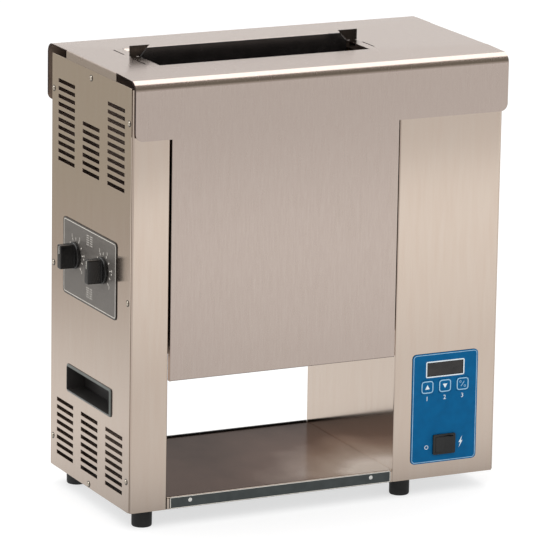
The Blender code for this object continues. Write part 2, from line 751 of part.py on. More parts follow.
def make_handle_cups():
    """Black cups set in the side panels, for the fingers when the toaster is lifted."""
    long, high = HANDLE_LENGTH - 2 * HANDLE_RIM, HANDLE_HEIGHT - 2 * HANDLE_RIM
    centre = (0, BASE + HANDLE_Z)
    for face, inward, name in ((LEFT_FACE, 1, "left_handle_cup"), (RIGHT_FACE, -1, "right_handle_cup")):
        rim_at = face - inward * (CLEARANCE + HANDLE_PROUD / 2)
        cup = drawn([rounded_box(centre, HANDLE_LENGTH, HANDLE_HEIGHT, HANDLE_CORNER)],
                    HANDLE_PROUD, "X", rim_at)
        depth = HANDLE_DEPTH + HANDLE_PROUD / 2
        body = drawn([rounded_box(centre, long, high, HANDLE_CORNER)], depth, "X",
                     rim_at + inward * depth / 2)
        room = depth + OVERRUN - HANDLE_WALL
        hollow = drawn([rounded_box(centre, long - 2 * HANDLE_WALL, high - 2 * HANDLE_WALL,
                                    HANDLE_CORNER / 2)],
                       room, "X", rim_at + inward * (depth - HANDLE_WALL - room / 2))
        publish(cut(join(cup, body), hollow), name, "black_plastic")


def cover_apron(side):
    """Middle of a skirt carried down past the lanes, with returns between the towers and a foot flange."""
    face = side * (COVER_DEPTH / 2 - SHEET / 2)
    root = side * (CASE_DEPTH / 2 - APRON_REACH)
    left = LANE_LEFT + APRON_START_GAP + SHEET / 2
    right = LANE_RIGHT - APRON_END_GAP - SHEET / 2
    path = bent([(left, root), (left, face), (right, face), (right, root)], SHEET_BEND)
    bottom = BASE + APRON_BOTTOM
    apron = sheet(path, SHEET, "Z", (bottom, SKIRT_BOTTOM + SKIRT_CORNER))
    near, far = sorted((face, face - side * APRON_FOOT_FLANGE))
    return join(apron, block((left, near, bottom), (right, far, bottom + SHEET)))


def make_top_cover(carrier):
    """The cover that lifts off: skirts with aprons, short ends, rolled lips round the slot."""
    middle = SHEET / 2
    front, back = -COVER_DEPTH / 2 + middle, COVER_DEPTH / 2 - middle
    top = COVER_TOP - middle
    path = bent([(front, SKIRT_BOTTOM), (front, top), (back, top), (back, SKIRT_BOTTOM)],
                COVER_BEND - middle, WIDE_BEND_STEPS)
    left, right = LEFT - COVER_OVERHANG, RIGHT + COVER_OVERHANG
    cover = sheet(path, SHEET, "X", (left, right))
    half = SLOT_WIDTH / 2
    opening = block((SLOT_LEFT, -half - LIP_RADIUS, top - OVERRUN),
                    (SLOT_RIGHT, half + LIP_RADIUS, top + OVERRUN))
    slits = []
    for x in (SLOT_LEFT - SLIT_OFFSET, SLOT_RIGHT + SLIT_OFFSET):
        for near, far in ((SLIT_NEAR, SLIT_NEAR + SLIT_LENGTH), (-SLIT_NEAR - SLIT_LENGTH, -SLIT_NEAR)):
            slits.append(((x - SLIT_WIDTH / 2, LANE_MID_Y + near, top - OVERRUN),
                          (x + SLIT_WIDTH / 2, LANE_MID_Y + far, top + OVERRUN)))
    for edge, side in ((SLOT_LEFT, -1), (SLOT_RIGHT, 1)):
        near = edge + side * (EAR_BASE_WIDTH - EAR_TAB_WIDTH) / 2 - side * CLEARANCE
        far = edge + side * (EAR_BASE_WIDTH + EAR_TAB_WIDTH) / 2 + side * CLEARANCE
        slits.append(((min(near, far), LANE_MID_Y - SHEET / 2 - CLEARANCE, top - OVERRUN),
                      (max(near, far), LANE_MID_Y + SHEET / 2 + CLEARANCE, top + OVERRUN)))
    corners = []
    for x, side in ((left, -1), (right, 1)):
        corner = (x - side * SKIRT_CORNER, SKIRT_BOTTOM + SKIRT_CORNER)
        sweep = np.linspace(0, math.pi / 2, BEND_STEPS + 1)
        arc = [(corner[0] + side * SKIRT_CORNER * math.cos(a), corner[1] - SKIRT_CORNER * math.sin(a))
               for a in sweep]
        waste = arc + [(corner[0], SKIRT_BOTTOM - OVERRUN), (x + side * OVERRUN, SKIRT_BOTTOM - OVERRUN),
                       (x + side * OVERRUN, corner[1])]
        corners.append(drawn([waste], COVER_DEPTH + 2 * OVERRUN, "Y", 0))
    cut(cover, opening, blocks(slits), *corners)
    for x, side in ((left, 1), (right, -1)):
        low = (min(x, x + side * SHEET), -END_FLANGE_LENGTH / 2, CASE_TOP + CLEARANCE)
        high = (max(x, x + side * SHEET), END_FLANGE_LENGTH / 2, COVER_TOP - middle)
        join(cover, block(low, high))
    lip = LIP_RADIUS - middle
    for side in (-1, 1):
        turn = np.linspace(0, math.pi / 2, BEND_STEPS + 1)
        path = [(side * (half + LIP_RADIUS + middle), top)]
        path += [(side * (half + LIP_RADIUS - lip * math.sin(a)), top - lip * (1 - math.cos(a)))
                 for a in turn]
        path.append((side * (half + middle), top - lip - LIP_DROP))
        join(cover, sheet(path, SHEET, "X", (SLOT_LEFT + RELIEF, SLOT_RIGHT - RELIEF)), cover_apron(side))
    publish(cover, "top_cover", "cover_steel", carrier)


def make_divider(carrier):
    """The upright plate between the lanes and the two ears that hold it on the cover."""
    base = COVER_TOP + CLEARANCE
    lean = (EAR_TOP_WIDTH - EAR_BASE_WIDTH) / EAR_RISE
    for edge, side, name in ((SLOT_LEFT, 1, "left_divider_ear"), (SLOT_RIGHT, -1, "right_divider_ear")):
        outer = edge - side * SLIT_OFFSET
        foot = outer + side * EAR_BASE_WIDTH
        tab = edge - side * EAR_BASE_WIDTH / 2
        half = EAR_TAB_WIDTH / 2
        points = [(outer, base), (tab - side * half, base), (tab - side * half, base - EAR_TAB_DROP),
                  (tab + side * half, base - EAR_TAB_DROP), (tab + side * half, base), (foot, base),
                  (outer + side * EAR_TOP_WIDTH, base + EAR_RISE), (outer, base + EAR_RISE)]
        ear = drawn([points], SHEET, "Y", LANE_MID_Y)
        publish(ear, name, "brushed_steel", carrier)
    inset = EAR_BASE_WIDTH - SLIT_OFFSET + 2 * CLEARANCE
    left, right = SLOT_LEFT + inset, SLOT_RIGHT - inset
    top = base + DIVIDER_RISE
    shift = lean * DIVIDER_RISE
    bottom = PLATEN_TOP + CLEARANCE + RELEASE_SHEET + CLEARANCE
    points = [(left, bottom), (right, bottom), (right, base), (right - shift, top),
              (left + shift, top), (left, base)]
    divider = drawn([points], DIVIDER_THICKNESS, "Y", LANE_MID_Y)
    publish(divider, "bun_divider", "black_coated_steel", carrier)


def belt_outline(y):
    """The belt's outside with its cleats, and its inside, as two closed loops."""
    straight = ROLLER_SPACING
    around = 2 * straight + 2 * math.pi * BELT_RADIUS
    arc = math.pi * BELT_RADIUS

    def place(s, radius):
        """Point at distance s along the belt, at a radius from the rollers' axes."""
        s = s % around
        if s < straight:
            return (y + radius, DRIVE_AXIS_Z + s)
        if s < straight + arc:
            angle = (s - straight) / BELT_RADIUS
            return (y + radius * math.cos(angle), IDLER_AXIS_Z + radius * math.sin(angle))
        if s < 2 * straight + arc:
            return (y - radius, IDLER_AXIS_Z - (s - straight - arc))
        angle = math.pi + (s - 2 * straight - arc) / BELT_RADIUS
        return (y + radius * math.cos(angle), DRIVE_AXIS_Z + radius * math.sin(angle))

    pitch = around / CLEAT_COUNT
    outside = []
    for cleat in range(CLEAT_COUNT):
        s = (cleat + 0.5) * pitch
        outside.append(place(s - CLEAT_WIDTH / 2, BELT_RADIUS))
        outside.append(place(s - CLEAT_WIDTH * CLEAT_TOP_SHARE / 2, REACH_RADIUS))
        outside.append(place(s + CLEAT_WIDTH * CLEAT_TOP_SHARE / 2, REACH_RADIUS))
        outside.append(place(s + CLEAT_WIDTH / 2, BELT_RADIUS))
        outside.append(place(s + pitch / 2, BELT_RADIUS))
    inside = strap((y, DRIVE_AXIS_Z), BELT_BORE, (y, IDLER_AXIS_Z), BELT_BORE, BELT_ARC_POINTS)
    return [outside, inside]


def roller_profile(low, drum_low, drum_high, high):
    """Half outline of a roller and its journals, from the high end to the low end."""
    return [(0, high), (JOURNAL_RADIUS, high), (JOURNAL_RADIUS, drum_high), (ROLLER_RADIUS, drum_high),
            (ROLLER_RADIUS, drum_low), (JOURNAL_RADIUS, drum_low), (JOURNAL_RADIUS, low), (0, low)]


def make_conveyor(word, y, inner_side, axes):
    """One belt conveyor: tilting frame, belt, two rollers, arm and its adjusting shaft with knob."""
    left = LANE_LEFT + FRAME_END_GAP
    right = LANE_RIGHT - FRAME_END_GAP
    drive, idler = (y, DRIVE_AXIS_Z), (y, IDLER_AXIS_Z)
    bore = JOURNAL_RADIUS + CLEARANCE
    outline = strap(drive, FRAME_HALF_WIDTH, idler, FRAME_HALF_WIDTH)
    loops = [outline, circle(drive, TILT_TUBE_RADIUS - TILT_TUBE_BITE, BORE_STEPS),
             circle(idler, bore, BORE_STEPS)]
    frame = drawn(loops, FRAME_PLATE, "X", left + FRAME_PLATE / 2)
    far_plate = drawn(loops, FRAME_PLATE, "X", right - FRAME_PLATE / 2)
    tube = [circle(drive, TILT_TUBE_RADIUS), circle(drive, bore)]
    arm_end = LANE_LEFT - SHEET - ARM_OFFSET - ARM_THICKNESS - CLEARANCE
    left_tube_length = left + FRAME_PLATE - arm_end
    right_end = LANE_RIGHT + SHEET + TILT_TUBE_REACH
    right_tube_length = right_end - right + FRAME_PLATE
    tubes = [drawn(tube, left_tube_length, "X", arm_end + left_tube_length / 2),
             drawn(tube, right_tube_length, "X", right_end - right_tube_length / 2)]
    plate_outer = y + inner_side * (ROLLER_RADIUS - CLEARANCE)
    plate_inner = plate_outer - inner_side * BACKING_PLATE
    near, far = sorted((plate_outer, plate_inner))
    overlap = FRAME_PLATE / 2
    backing = block((left + overlap, near, DRIVE_AXIS_Z + BACKING_INSET),
                    (right - overlap, far, IDLER_AXIS_Z - BACKING_INSET))
    tie_z = (DRIVE_AXIS_Z + IDLER_AXIS_Z) / 2
    tie = bar((y - inner_side * TIE_OFFSET, tie_z), TIE_RADIUS, "X",
              (left + overlap, right - overlap), BORE_STEPS)
    join(frame, backing, tie, far_plate, *tubes)
    publish(frame, f"{word}_conveyor_frame", "zinc_steel", axes["tilt"])

    belt_left, belt_right = LANE_LEFT + BELT_END_GAP, LANE_RIGHT - BELT_END_GAP
    belt = drawn(belt_outline(y), belt_right - belt_left, "X", (belt_left + belt_right) / 2)
    publish(belt, f"{word}_belt", "silicone_belt", axes["tilt"])

    hub = drawn([strap(drive, ARM_HUB_RADIUS, axes["pin"], ARM_TIP_RADIUS),
                 circle(drive, TILT_TUBE_RADIUS + CLEARANCE)],
                ARM_THICKNESS, "X", LANE_LEFT - SHEET - ARM_OFFSET - ARM_THICKNESS / 2)
    arm_face = LANE_LEFT - SHEET - ARM_OFFSET - ARM_THICKNESS
    pin = bar(axes["pin"], TILT_PIN_RADIUS, "X",
              (arm_face - TILT_PIN_REACH, arm_face + ARM_THICKNESS / 2), BORE_STEPS)
    publish(join(hub, pin), f"{word}_tilt_arm", "zinc_steel", axes["tilt"])

    sprocket_end = SPROCKET_X + SPROCKET_THICKNESS
    drive_roller = turned(roller_profile(arm_end, belt_left, belt_right, sprocket_end), "X", (0, *drive))
    publish(drive_roller, f"{word}_drive_roller", "cast_aluminium", axes["drive"])
    idler_roller = turned(roller_profile(left - CLEARANCE, belt_left, belt_right, right + CLEARANCE),
                          "X", (0, *idler))
    publish(idler_roller, f"{word}_idler_roller", "cast_aluminium", axes["idler"])
    wheel = sprocket(drive, DRIVE_TEETH, bore)
    publish(wheel, f"{word}_drive_sprocket", "zinc_steel", axes["drive"])
    make_adjuster(word, axes)


def scroll_slot(centre, toward, rise):
    """The spiral slot that moves the arm's pin: its radius grows evenly with the angle."""
    half = TILT_PIN_RADIUS + CLEARANCE
    reach = KNOB_TURN + SCROLL_MARGIN
    angles = np.linspace(-reach, reach, SCROLL_STEPS)
    radii = SCROLL_PATH_RADIUS + rise * angles

    def along(offset, order):
        turn = toward + angles[::order]
        radius = radii[::order] + offset
        return [(centre[0] + r * math.cos(a), centre[1] + r * math.sin(a)) for r, a in zip(radius, turn)]

    def cap(angle, radius, heading):
        middle = (centre[0] + radius * math.cos(toward + angle),
                  centre[1] + radius * math.sin(toward + angle))
        return [(middle[0] + half * math.cos(a), middle[1] + half * math.sin(a))
                for a in toward + angle + heading + np.linspace(0, math.pi, BEND_STEPS + 2)[1:-1]]

    return (along(half, 1) + cap(reach, radii[-1], 0) + along(-half, -1) + cap(-reach, radii[0], math.pi))


def make_adjuster(word, axes):
    """Knob, adjusting shaft and the scroll disc that the tilt arm's pin rides in."""
    centre = axes["knob_place"]
    disc_x = LANE_LEFT - SHEET - ARM_OFFSET - ARM_THICKNESS - SCROLL_THICKNESS / 2 - TILT_TUBE_BITE
    loops = [circle(centre, SCROLL_RADIUS, DUCT_STEPS),
             scroll_slot(centre, axes["toward"], axes["rise"])]
    disc = drawn(loops, SCROLL_THICKNESS, "X", disc_x)
    inner_end = LANE_LEFT + CLEARANCE
    outer_end = DIAL_FACE - CLEARANCE - KNOB_HEIGHT / 2
    shaft = bar(centre, ADJUST_SHAFT_RADIUS, "X", (outer_end, inner_end), BORE_STEPS)
    publish(join(disc, shaft), f"{word}_adjusting_shaft", "zinc_steel", axes["knob"])

    face = DIAL_FACE - CLEARANCE
    skirt = bar(centre, KNOB_SKIRT_RADIUS, "X", (face - KNOB_SKIRT_HEIGHT, face), ROUND_STEPS)
    half = KNOB_GRIP_WIDTH / 2
    reach = KNOB_SKIRT_RADIUS - half
    grip_length = KNOB_HEIGHT - KNOB_SKIRT_HEIGHT / 2
    grip = drawn([strap((centre[0], centre[1] - reach), half, (centre[0], centre[1] + reach), half,
                        HEEL_POINTS)],
                 grip_length, "X", face - KNOB_HEIGHT + grip_length / 2)
    bore = bar(centre, ADJUST_SHAFT_RADIUS + CLEARANCE, "X",
               (outer_end - CLEARANCE, face + OVERRUN), BORE_STEPS)
    knob = soften(cut(join(skirt, grip), bore), KNOB_EDGE, 1, math.radians(50.0))
    publish(knob, f"{word}_knob", "black_plastic", axes["knob"])


def pitch_radius(teeth):
    return CHAIN_PITCH / 2 / math.sin(math.pi / teeth)


def sprocket(centre, teeth, bore_radius):
    """A chain wheel: the tooth height follows a cosine about the pitch circle, with a hub inside."""
    turn = np.arange(teeth * TOOTH_POINTS) * 2 * math.pi / (teeth * TOOTH_POINTS)
    radius = pitch_radius(teeth) + TOOTH_HEIGHT * np.cos(teeth * turn)
    rim = np.column_stack((centre[0] + radius * np.cos(turn), centre[1] + radius * np.sin(turn)))
    wheel = drawn([rim], SPROCKET_THICKNESS, "X", SPROCKET_X)
    hub_end = SPROCKET_X - SPROCKET_THICKNESS / 2 - SPROCKET_HUB_LENGTH
    hub = bar(centre, SPROCKET_HUB_RADIUS, "X", (hub_end, SPROCKET_X))
    bore = bar(centre, bore_radius, "X", (hub_end - OVERRUN, SPROCKET_X + OVERRUN), BORE_STEPS)
    return cut(join(wheel, hub), bore)


def chain_route(stations):
    """Pitch line of a chain round wheels: (centre, radius, side), side 1 where it turns left."""
    legs = []
    count = len(stations)
    for i in range(count):
        (c1, r1, s1), (c2, r2, s2) = stations[i], stations[(i + 1) % count]
        c1, c2 = np.array(c1, float), np.array(c2, float)
        reach = c2 - c1
        distance = np.linalg.norm(reach)
        heading = math.atan2(reach[1], reach[0]) + math.asin((s1 * r1 - s2 * r2) / distance)
        normal = np.array((math.sin(heading), -math.cos(heading)))
        legs.append((c1 + normal * s1 * r1, c2 + normal * s2 * r2))
    points = []
    for i in range(count):
        centre, radius, side = stations[i]
        arrive, leave = legs[i - 1][1], legs[i][0]
        a0 = math.atan2(arrive[1] - centre[1], arrive[0] - centre[0])
        a1 = math.atan2(leave[1] - centre[1], leave[0] - centre[0])
        sweep = (a1 - a0) % (2 * math.pi) if side > 0 else -((a0 - a1) % (2 * math.pi))
        steps = max(2, round(2 * abs(sweep) * radius / CHAIN_PITCH))
        for share in np.linspace(0, 1, steps + 1)[:-1]:
            angle = a0 + sweep * share
            points.append(np.array(centre) + radius * np.array((math.cos(angle), math.sin(angle))))
        points.append(leave)
    return np.array(points)


def normals(points):
    """Unit normals of a closed line at its points."""
    along = np.roll(points, -1, axis=0) - np.roll(points, 1, axis=0)
    along /= np.linalg.norm(along, axis=1)[:, None]
    return np.column_stack((along[:, 1], -along[:, 0]))


def evenly(points, spacing):
    """Points at even steps along a closed line."""
    closed = np.vstack((points, points[:1]))
    lengths = np.linalg.norm(np.diff(closed, axis=0), axis=1)
    reached = np.concatenate(([0], np.cumsum(lengths)))
    count = round(reached[-1] / spacing)
    stations = np.arange(count) * reached[-1] / count
    return np.column_stack([np.interp(stations, reached, closed[:, k]) for k in (0, 1)])


def make_chain_drive(axes):
    """Motor sprocket, chain and its guide; the chain passes outside the rear sprocket."""
    motor = (MOTOR_Y, BASE + MOTOR_Z)
    front, rear = (FRONT_ROLLER_Y, DRIVE_AXIS_Z), (REAR_ROLLER_Y, DRIVE_AXIS_Z)
    guide = (MOTOR_Y, BASE + GUIDE_Z)
    wheel = sprocket(motor, MOTOR_TEETH, MOTOR_SHAFT_RADIUS - CLEARANCE)
    shaft = bar(motor, MOTOR_SHAFT_RADIUS, "X",
                (SPROCKET_X - SPROCKET_THICKNESS, LANE_RIGHT + SHEET + GEARBOX_STANDOFF + GEARBOX_DEPTH / 2))
    publish(join(wheel, shaft), "motor_sprocket", "zinc_steel", axes["motor"])

    wheels = [(motor, pitch_radius(MOTOR_TEETH), 1), (front, pitch_radius(DRIVE_TEETH), 1),
              (guide, GUIDE_PATH_RADIUS, 1), (rear, pitch_radius(DRIVE_TEETH), -1)]
    route = chain_route(wheels)
    rise = normals(route) * LINK_HALF_HEIGHT
    loops = [route + rise, route - rise]
    gap = SPROCKET_THICKNESS / 2 + 2 * CLEARANCE
    plates = [drawn(loops, LINK_THICKNESS, "X", SPROCKET_X + side * (gap + LINK_THICKNESS / 2))
              for side in (-1, 1)]
    clear = []
    for spot in evenly(route, 2 * CHAIN_PITCH):
        away = [np.linalg.norm(spot - np.array(centre)) - pitch_radius(teeth) - TOOTH_HEIGHT
                for centre, teeth in ((motor, MOTOR_TEETH), (front, DRIVE_TEETH), (rear, DRIVE_TEETH))]
        if min(away) > CHAIN_ROLLER_RADIUS + CLEARANCE:
            clear.append(tuple(spot))
    half = gap + LINK_THICKNESS / 2
    pins = bars(clear, CHAIN_ROLLER_RADIUS, "X", (SPROCKET_X - half, SPROCKET_X + half), PIN_STEPS)
    publish(join(plates[0], pins, plates[1]), "drive_chain", "zinc_steel")

    shoe_radius = GUIDE_PATH_RADIUS - LINK_HALF_HEIGHT - 2 * CLEARANCE
    width = gap + LINK_THICKNESS
    shoe = bar(guide, shoe_radius, "X", (SPROCKET_X - width, SPROCKET_X + width))
    boss = bar(guide, GUIDE_BOSS_RADIUS, "X", (LANE_RIGHT + SHEET + CLEARANCE, SPROCKET_X), BORE_STEPS)
    publish(join(shoe, boss), "chain_guide", "white_nylon")


def make_gearmotor():
    """Gearbox on four posts from the tower's inner wall, with the motor can behind it."""
    centre = (MOTOR_Y, BASE + MOTOR_Z)
    wall = LANE_RIGHT + SHEET
    face = wall + GEARBOX_STANDOFF
    half_y, half_z = GEARBOX_WIDTH / 2, GEARBOX_HEIGHT / 2
    box = drawn([rounded_box(centre, GEARBOX_WIDTH, GEARBOX_HEIGHT, GEARBOX_EDGE)], GEARBOX_DEPTH, "X",
                face + GEARBOX_DEPTH / 2)
    back = face + GEARBOX_DEPTH
    can = bar(centre, MOTOR_CAN_RADIUS, "X", (back - GEARBOX_EDGE, back + MOTOR_CAN_LENGTH))
    spots = [(centre[0] + sy * (half_y - POST_INSET), centre[1] + sz * (half_z - POST_INSET))
             for sy in (-1, 1) for sz in (-1, 1)]
    posts = bars(spots, POST_RADIUS, "X", (wall + CLEARANCE, face + GEARBOX_EDGE), BORE_STEPS)
    bore = bar(centre, MOTOR_SHAFT_RADIUS + CLEARANCE, "X",
               (face - OVERRUN, face + GEARBOX_DEPTH / 2 + CLEARANCE))
    publish(cut(join(box, can, posts), bore), "gearmotor", "painted_motor")


def make_platen():
    """Heated platen with its two elements, the release sheet over it and a bracket at each end."""
    left, right = LANE_LEFT + PLATEN_END_GAP, LANE_RIGHT - PLATEN_END_GAP
    half = PLATEN_THICKNESS / 2
    spots = [(LANE_MID_Y, PLATEN_Z + PLATEN_HEIGHT * share) for share in ELEMENT_HEIGHT_SHARES]
    outline = rounded_box((LANE_MID_Y, PLATEN_Z + PLATEN_HEIGHT / 2), PLATEN_THICKNESS, PLATEN_HEIGHT,
                          PLATEN_EDGE, 2)
    bores = [circle(spot, ELEMENT_RADIUS + CLEARANCE, BORE_STEPS) for spot in spots]
    platen = drawn([outline] + bores, right - left, "X", (left + right) / 2)
    publish(platen, "platen", "cast_aluminium")
    end = LANE_RIGHT + ELEMENT_REACH
    for spot, word in zip(spots, ("lower", "upper")):
        profile = [(0, end + ELEMENT_PIN_LENGTH), (ELEMENT_PIN_RADIUS, end + ELEMENT_PIN_LENGTH),
                   (ELEMENT_PIN_RADIUS, end), (ELEMENT_RADIUS, end), (ELEMENT_RADIUS, left), (0, left)]
        publish(turned(profile, "X", (0, *spot), BORE_STEPS), f"{word}_heating_element", "zinc_steel")
    skin = half + CLEARANCE + RELEASE_SHEET / 2
    top = PLATEN_TOP + CLEARANCE + RELEASE_SHEET / 2
    low = PLATEN_Z + RELEASE_MARGIN
    path = bent([(LANE_MID_Y - skin, low), (LANE_MID_Y - skin, top), (LANE_MID_Y + skin, top),
                 (LANE_MID_Y + skin, low)], PLATEN_EDGE + CLEARANCE + RELEASE_SHEET / 2, 2)
    arm = BRACKET_ARM + CLEARANCE
    skin_sheet = sheet(path, RELEASE_SHEET, "X",
                       (LANE_LEFT + arm + CLEARANCE, LANE_RIGHT - arm - CLEARANCE))
    publish(skin_sheet, "release_sheet", "release_fabric")
    grip = half + CLEARANCE + BRACKET_SHEET / 2
    low = PLATEN_Z + (PLATEN_HEIGHT - BRACKET_HEIGHT) / 2
    for wall, side, name in ((LANE_LEFT, 1, "left_platen_bracket"), (LANE_RIGHT, -1, "right_platen_bracket")):
        web = wall + side * (CLEARANCE + BRACKET_SHEET / 2)
        tip = wall + side * BRACKET_ARM
        path = bent([(tip, LANE_MID_Y - grip), (web, LANE_MID_Y - grip), (web, LANE_MID_Y + grip),
                     (tip, LANE_MID_Y + grip)], SHEET_BEND)
        bracket = sheet(path, BRACKET_SHEET, "Z", (low, low + BRACKET_HEIGHT))
        holes = bars(spots, ELEMENT_RADIUS + CLEARANCE, "X", (web - OVERRUN, web + OVERRUN), BORE_STEPS)
        publish(cut(bracket, holes), name, "zinc_steel")


def key_places():
    return [(PANEL_X + step * KEY_PITCH, BASE + KEY_Z) for step in (-1, 0, 1)]


def make_control_panel(carriers):
    """Overlay, display window, three keys and the board behind them."""
    face = FRONT - CLEARANCE
    keys = key_places()
    room = 2 * CLEARANCE
    display = (PANEL_X, BASE + DISPLAY_Z)
    switch = (PANEL_X, BASE + SWITCH_Z)
    neck_width, neck_height = BEZEL_WIDTH - 2 * SWITCH_WALL, BEZEL_HEIGHT - 2 * SWITCH_WALL
    loops = [rounded_box((PANEL_X, BASE + OVERLAY_Z), OVERLAY_WIDTH, OVERLAY_HEIGHT, OVERLAY_CORNER),
             rounded_box(display, DISPLAY_WIDTH - 2 * KEY_FLANGE, DISPLAY_HEIGHT - 2 * KEY_FLANGE,
                         KEY_CORNER / 2),
             rounded_box(switch, neck_width + room, neck_height + room, KEY_CORNER / 2)]
    loops += [rounded_box(key, KEY_WIDTH + room, KEY_HEIGHT + room, KEY_CORNER) for key in keys]
    overlay = drawn(loops, OVERLAY_THICKNESS, "Y", face - OVERLAY_THICKNESS / 2)
    publish(overlay, "control_overlay", "blue_overlay")

    window = drawn([rounded_box(display, DISPLAY_WIDTH - 2 * CLEARANCE, DISPLAY_HEIGHT - 2 * CLEARANCE,
                                KEY_CORNER / 2)], DISPLAY_DEPTH, "Y", FRONT + DISPLAY_DEPTH / 2)
    publish(window, "display_window", "dark_window")

    front = face - OVERLAY_THICKNESS - KEY_PROUD
    for key, carrier, word in zip(keys, carriers, ("left", "middle", "right")):
        root = FRONT + KEY_FLANGE_THICKNESS / 2
        cap = drawn([rounded_box(key, KEY_WIDTH, KEY_HEIGHT, KEY_CORNER)], root - front, "Y",
                    (root + front) / 2)
        flange = drawn([rounded_box(key, KEY_WIDTH + 2 * KEY_FLANGE, KEY_HEIGHT + 2 * KEY_FLANGE,
                                    KEY_CORNER)], KEY_FLANGE_THICKNESS, "Y", root)
        publish(join(flange, cap), f"{word}_key", "blue_overlay", carrier)

    board_front = FRONT + BOARD_SETBACK
    low = BASE + KEY_Z - KEY_HEIGHT - BOARD_MARGIN
    high = BASE + DISPLAY_Z + DISPLAY_HEIGHT / 2 + BOARD_MARGIN
    half = KEY_PITCH + KEY_WIDTH / 2 + BOARD_MARGIN
    board = block((PANEL_X - half, board_front, low), (PANEL_X + half, board_front + BOARD_THICKNESS, high))
    module_front = FRONT + DISPLAY_DEPTH + CLEARANCE
    bite = board_front + BOARD_THICKNESS / 2
    module = block((PANEL_X - DISPLAY_WIDTH / 2, module_front, BASE + DISPLAY_Z - DISPLAY_HEIGHT / 2),
                   (PANEL_X + DISPLAY_WIDTH / 2, bite, BASE + DISPLAY_Z + DISPLAY_HEIGHT / 2))
    stop = FRONT + KEY_FLANGE_THICKNESS + KEY_TRAVEL + CLEARANCE
    button = KEY_WIDTH / 4
    buttons = blocks([((x - button, stop, z - button), (x + button, bite, z + button)) for x, z in keys])
    corner = half - BOARD_POST_RADIUS * 2
    rise = (high - low) / 2 - BOARD_POST_RADIUS * 2
    spots = [(PANEL_X + sx * corner, (low + high) / 2 + sz * rise) for sx in (-1, 1) for sz in (-1, 1)]
    posts = bars(spots, BOARD_POST_RADIUS, "Y", (FRONT + SHEET + CLEARANCE, bite), BORE_STEPS)
    publish(join(board, module, buttons, posts), "control_board", "green_board")


def make_power_switch(carrier):
    """Rocker switch: bezel and housing in one, and the rocker, which tips about an upright axis."""
    centre = (PANEL_X, BASE + SWITCH_Z)
    rear = FRONT - 2 * CLEARANCE - OVERLAY_THICKNESS
    bezel = drawn([rounded_box(centre, BEZEL_WIDTH, BEZEL_HEIGHT, KEY_CORNER)], BEZEL_THICKNESS, "Y",
                  rear - BEZEL_THICKNESS / 2)
    neck_width, neck_height = BEZEL_WIDTH - 2 * SWITCH_WALL, BEZEL_HEIGHT - 2 * SWITCH_WALL
    depth = SWITCH_DEPTH + BEZEL_THICKNESS / 2
    neck = drawn([rounded_box(centre, neck_width, neck_height, KEY_CORNER / 2)], depth, "Y",
                 rear - BEZEL_THICKNESS / 2 + depth / 2)
    room_depth = SWITCH_DEPTH - SWITCH_WALL + BEZEL_THICKNESS + OVERRUN
    room = block((centre[0] - ROCKER_WIDTH / 2 - CLEARANCE, rear - BEZEL_THICKNESS - OVERRUN,
                  centre[1] - ROCKER_HEIGHT / 2 - CLEARANCE),
                 (centre[0] + ROCKER_WIDTH / 2 + CLEARANCE,
                  rear - BEZEL_THICKNESS - OVERRUN + room_depth, centre[1] + ROCKER_HEIGHT / 2 + CLEARANCE))
    publish(cut(join(bezel, neck), room), "power_switch_body", "black_plastic")

    pivot = rocker_pivot()
    face = rear - BEZEL_THICKNESS - ROCKER_PROUD - pivot[1]
    half = ROCKER_WIDTH / 2 * math.cos(ROCKER_THROW) - CLEARANCE
    shoulder = face + ROCKER_PROUD + ROCKER_DISH
    outline = [(-half, face), (0, face + ROCKER_DISH), (half, face), (half, shoulder)]
    outline += [(ROCKER_HEEL_RADIUS * math.sin(a), ROCKER_HEEL_RADIUS * math.cos(a))
                for a in np.linspace(math.pi / 3, -math.pi / 3, HEEL_POINTS)]
    outline += [(-half, shoulder)]
    turn = -ROCKER_THROW
    lean = [(pivot[0] + x * math.cos(turn) - y * math.sin(turn),
             pivot[1] + x * math.sin(turn) + y * math.cos(turn)) for x, y in outline]
    rocker = drawn([lean], ROCKER_HEIGHT, "Z", centre[1])
    publish(rocker, "power_rocker", "black_plastic", carrier)


def rocker_pivot():
    return (PANEL_X, FRONT - 2 * CLEARANCE - OVERLAY_THICKNESS)


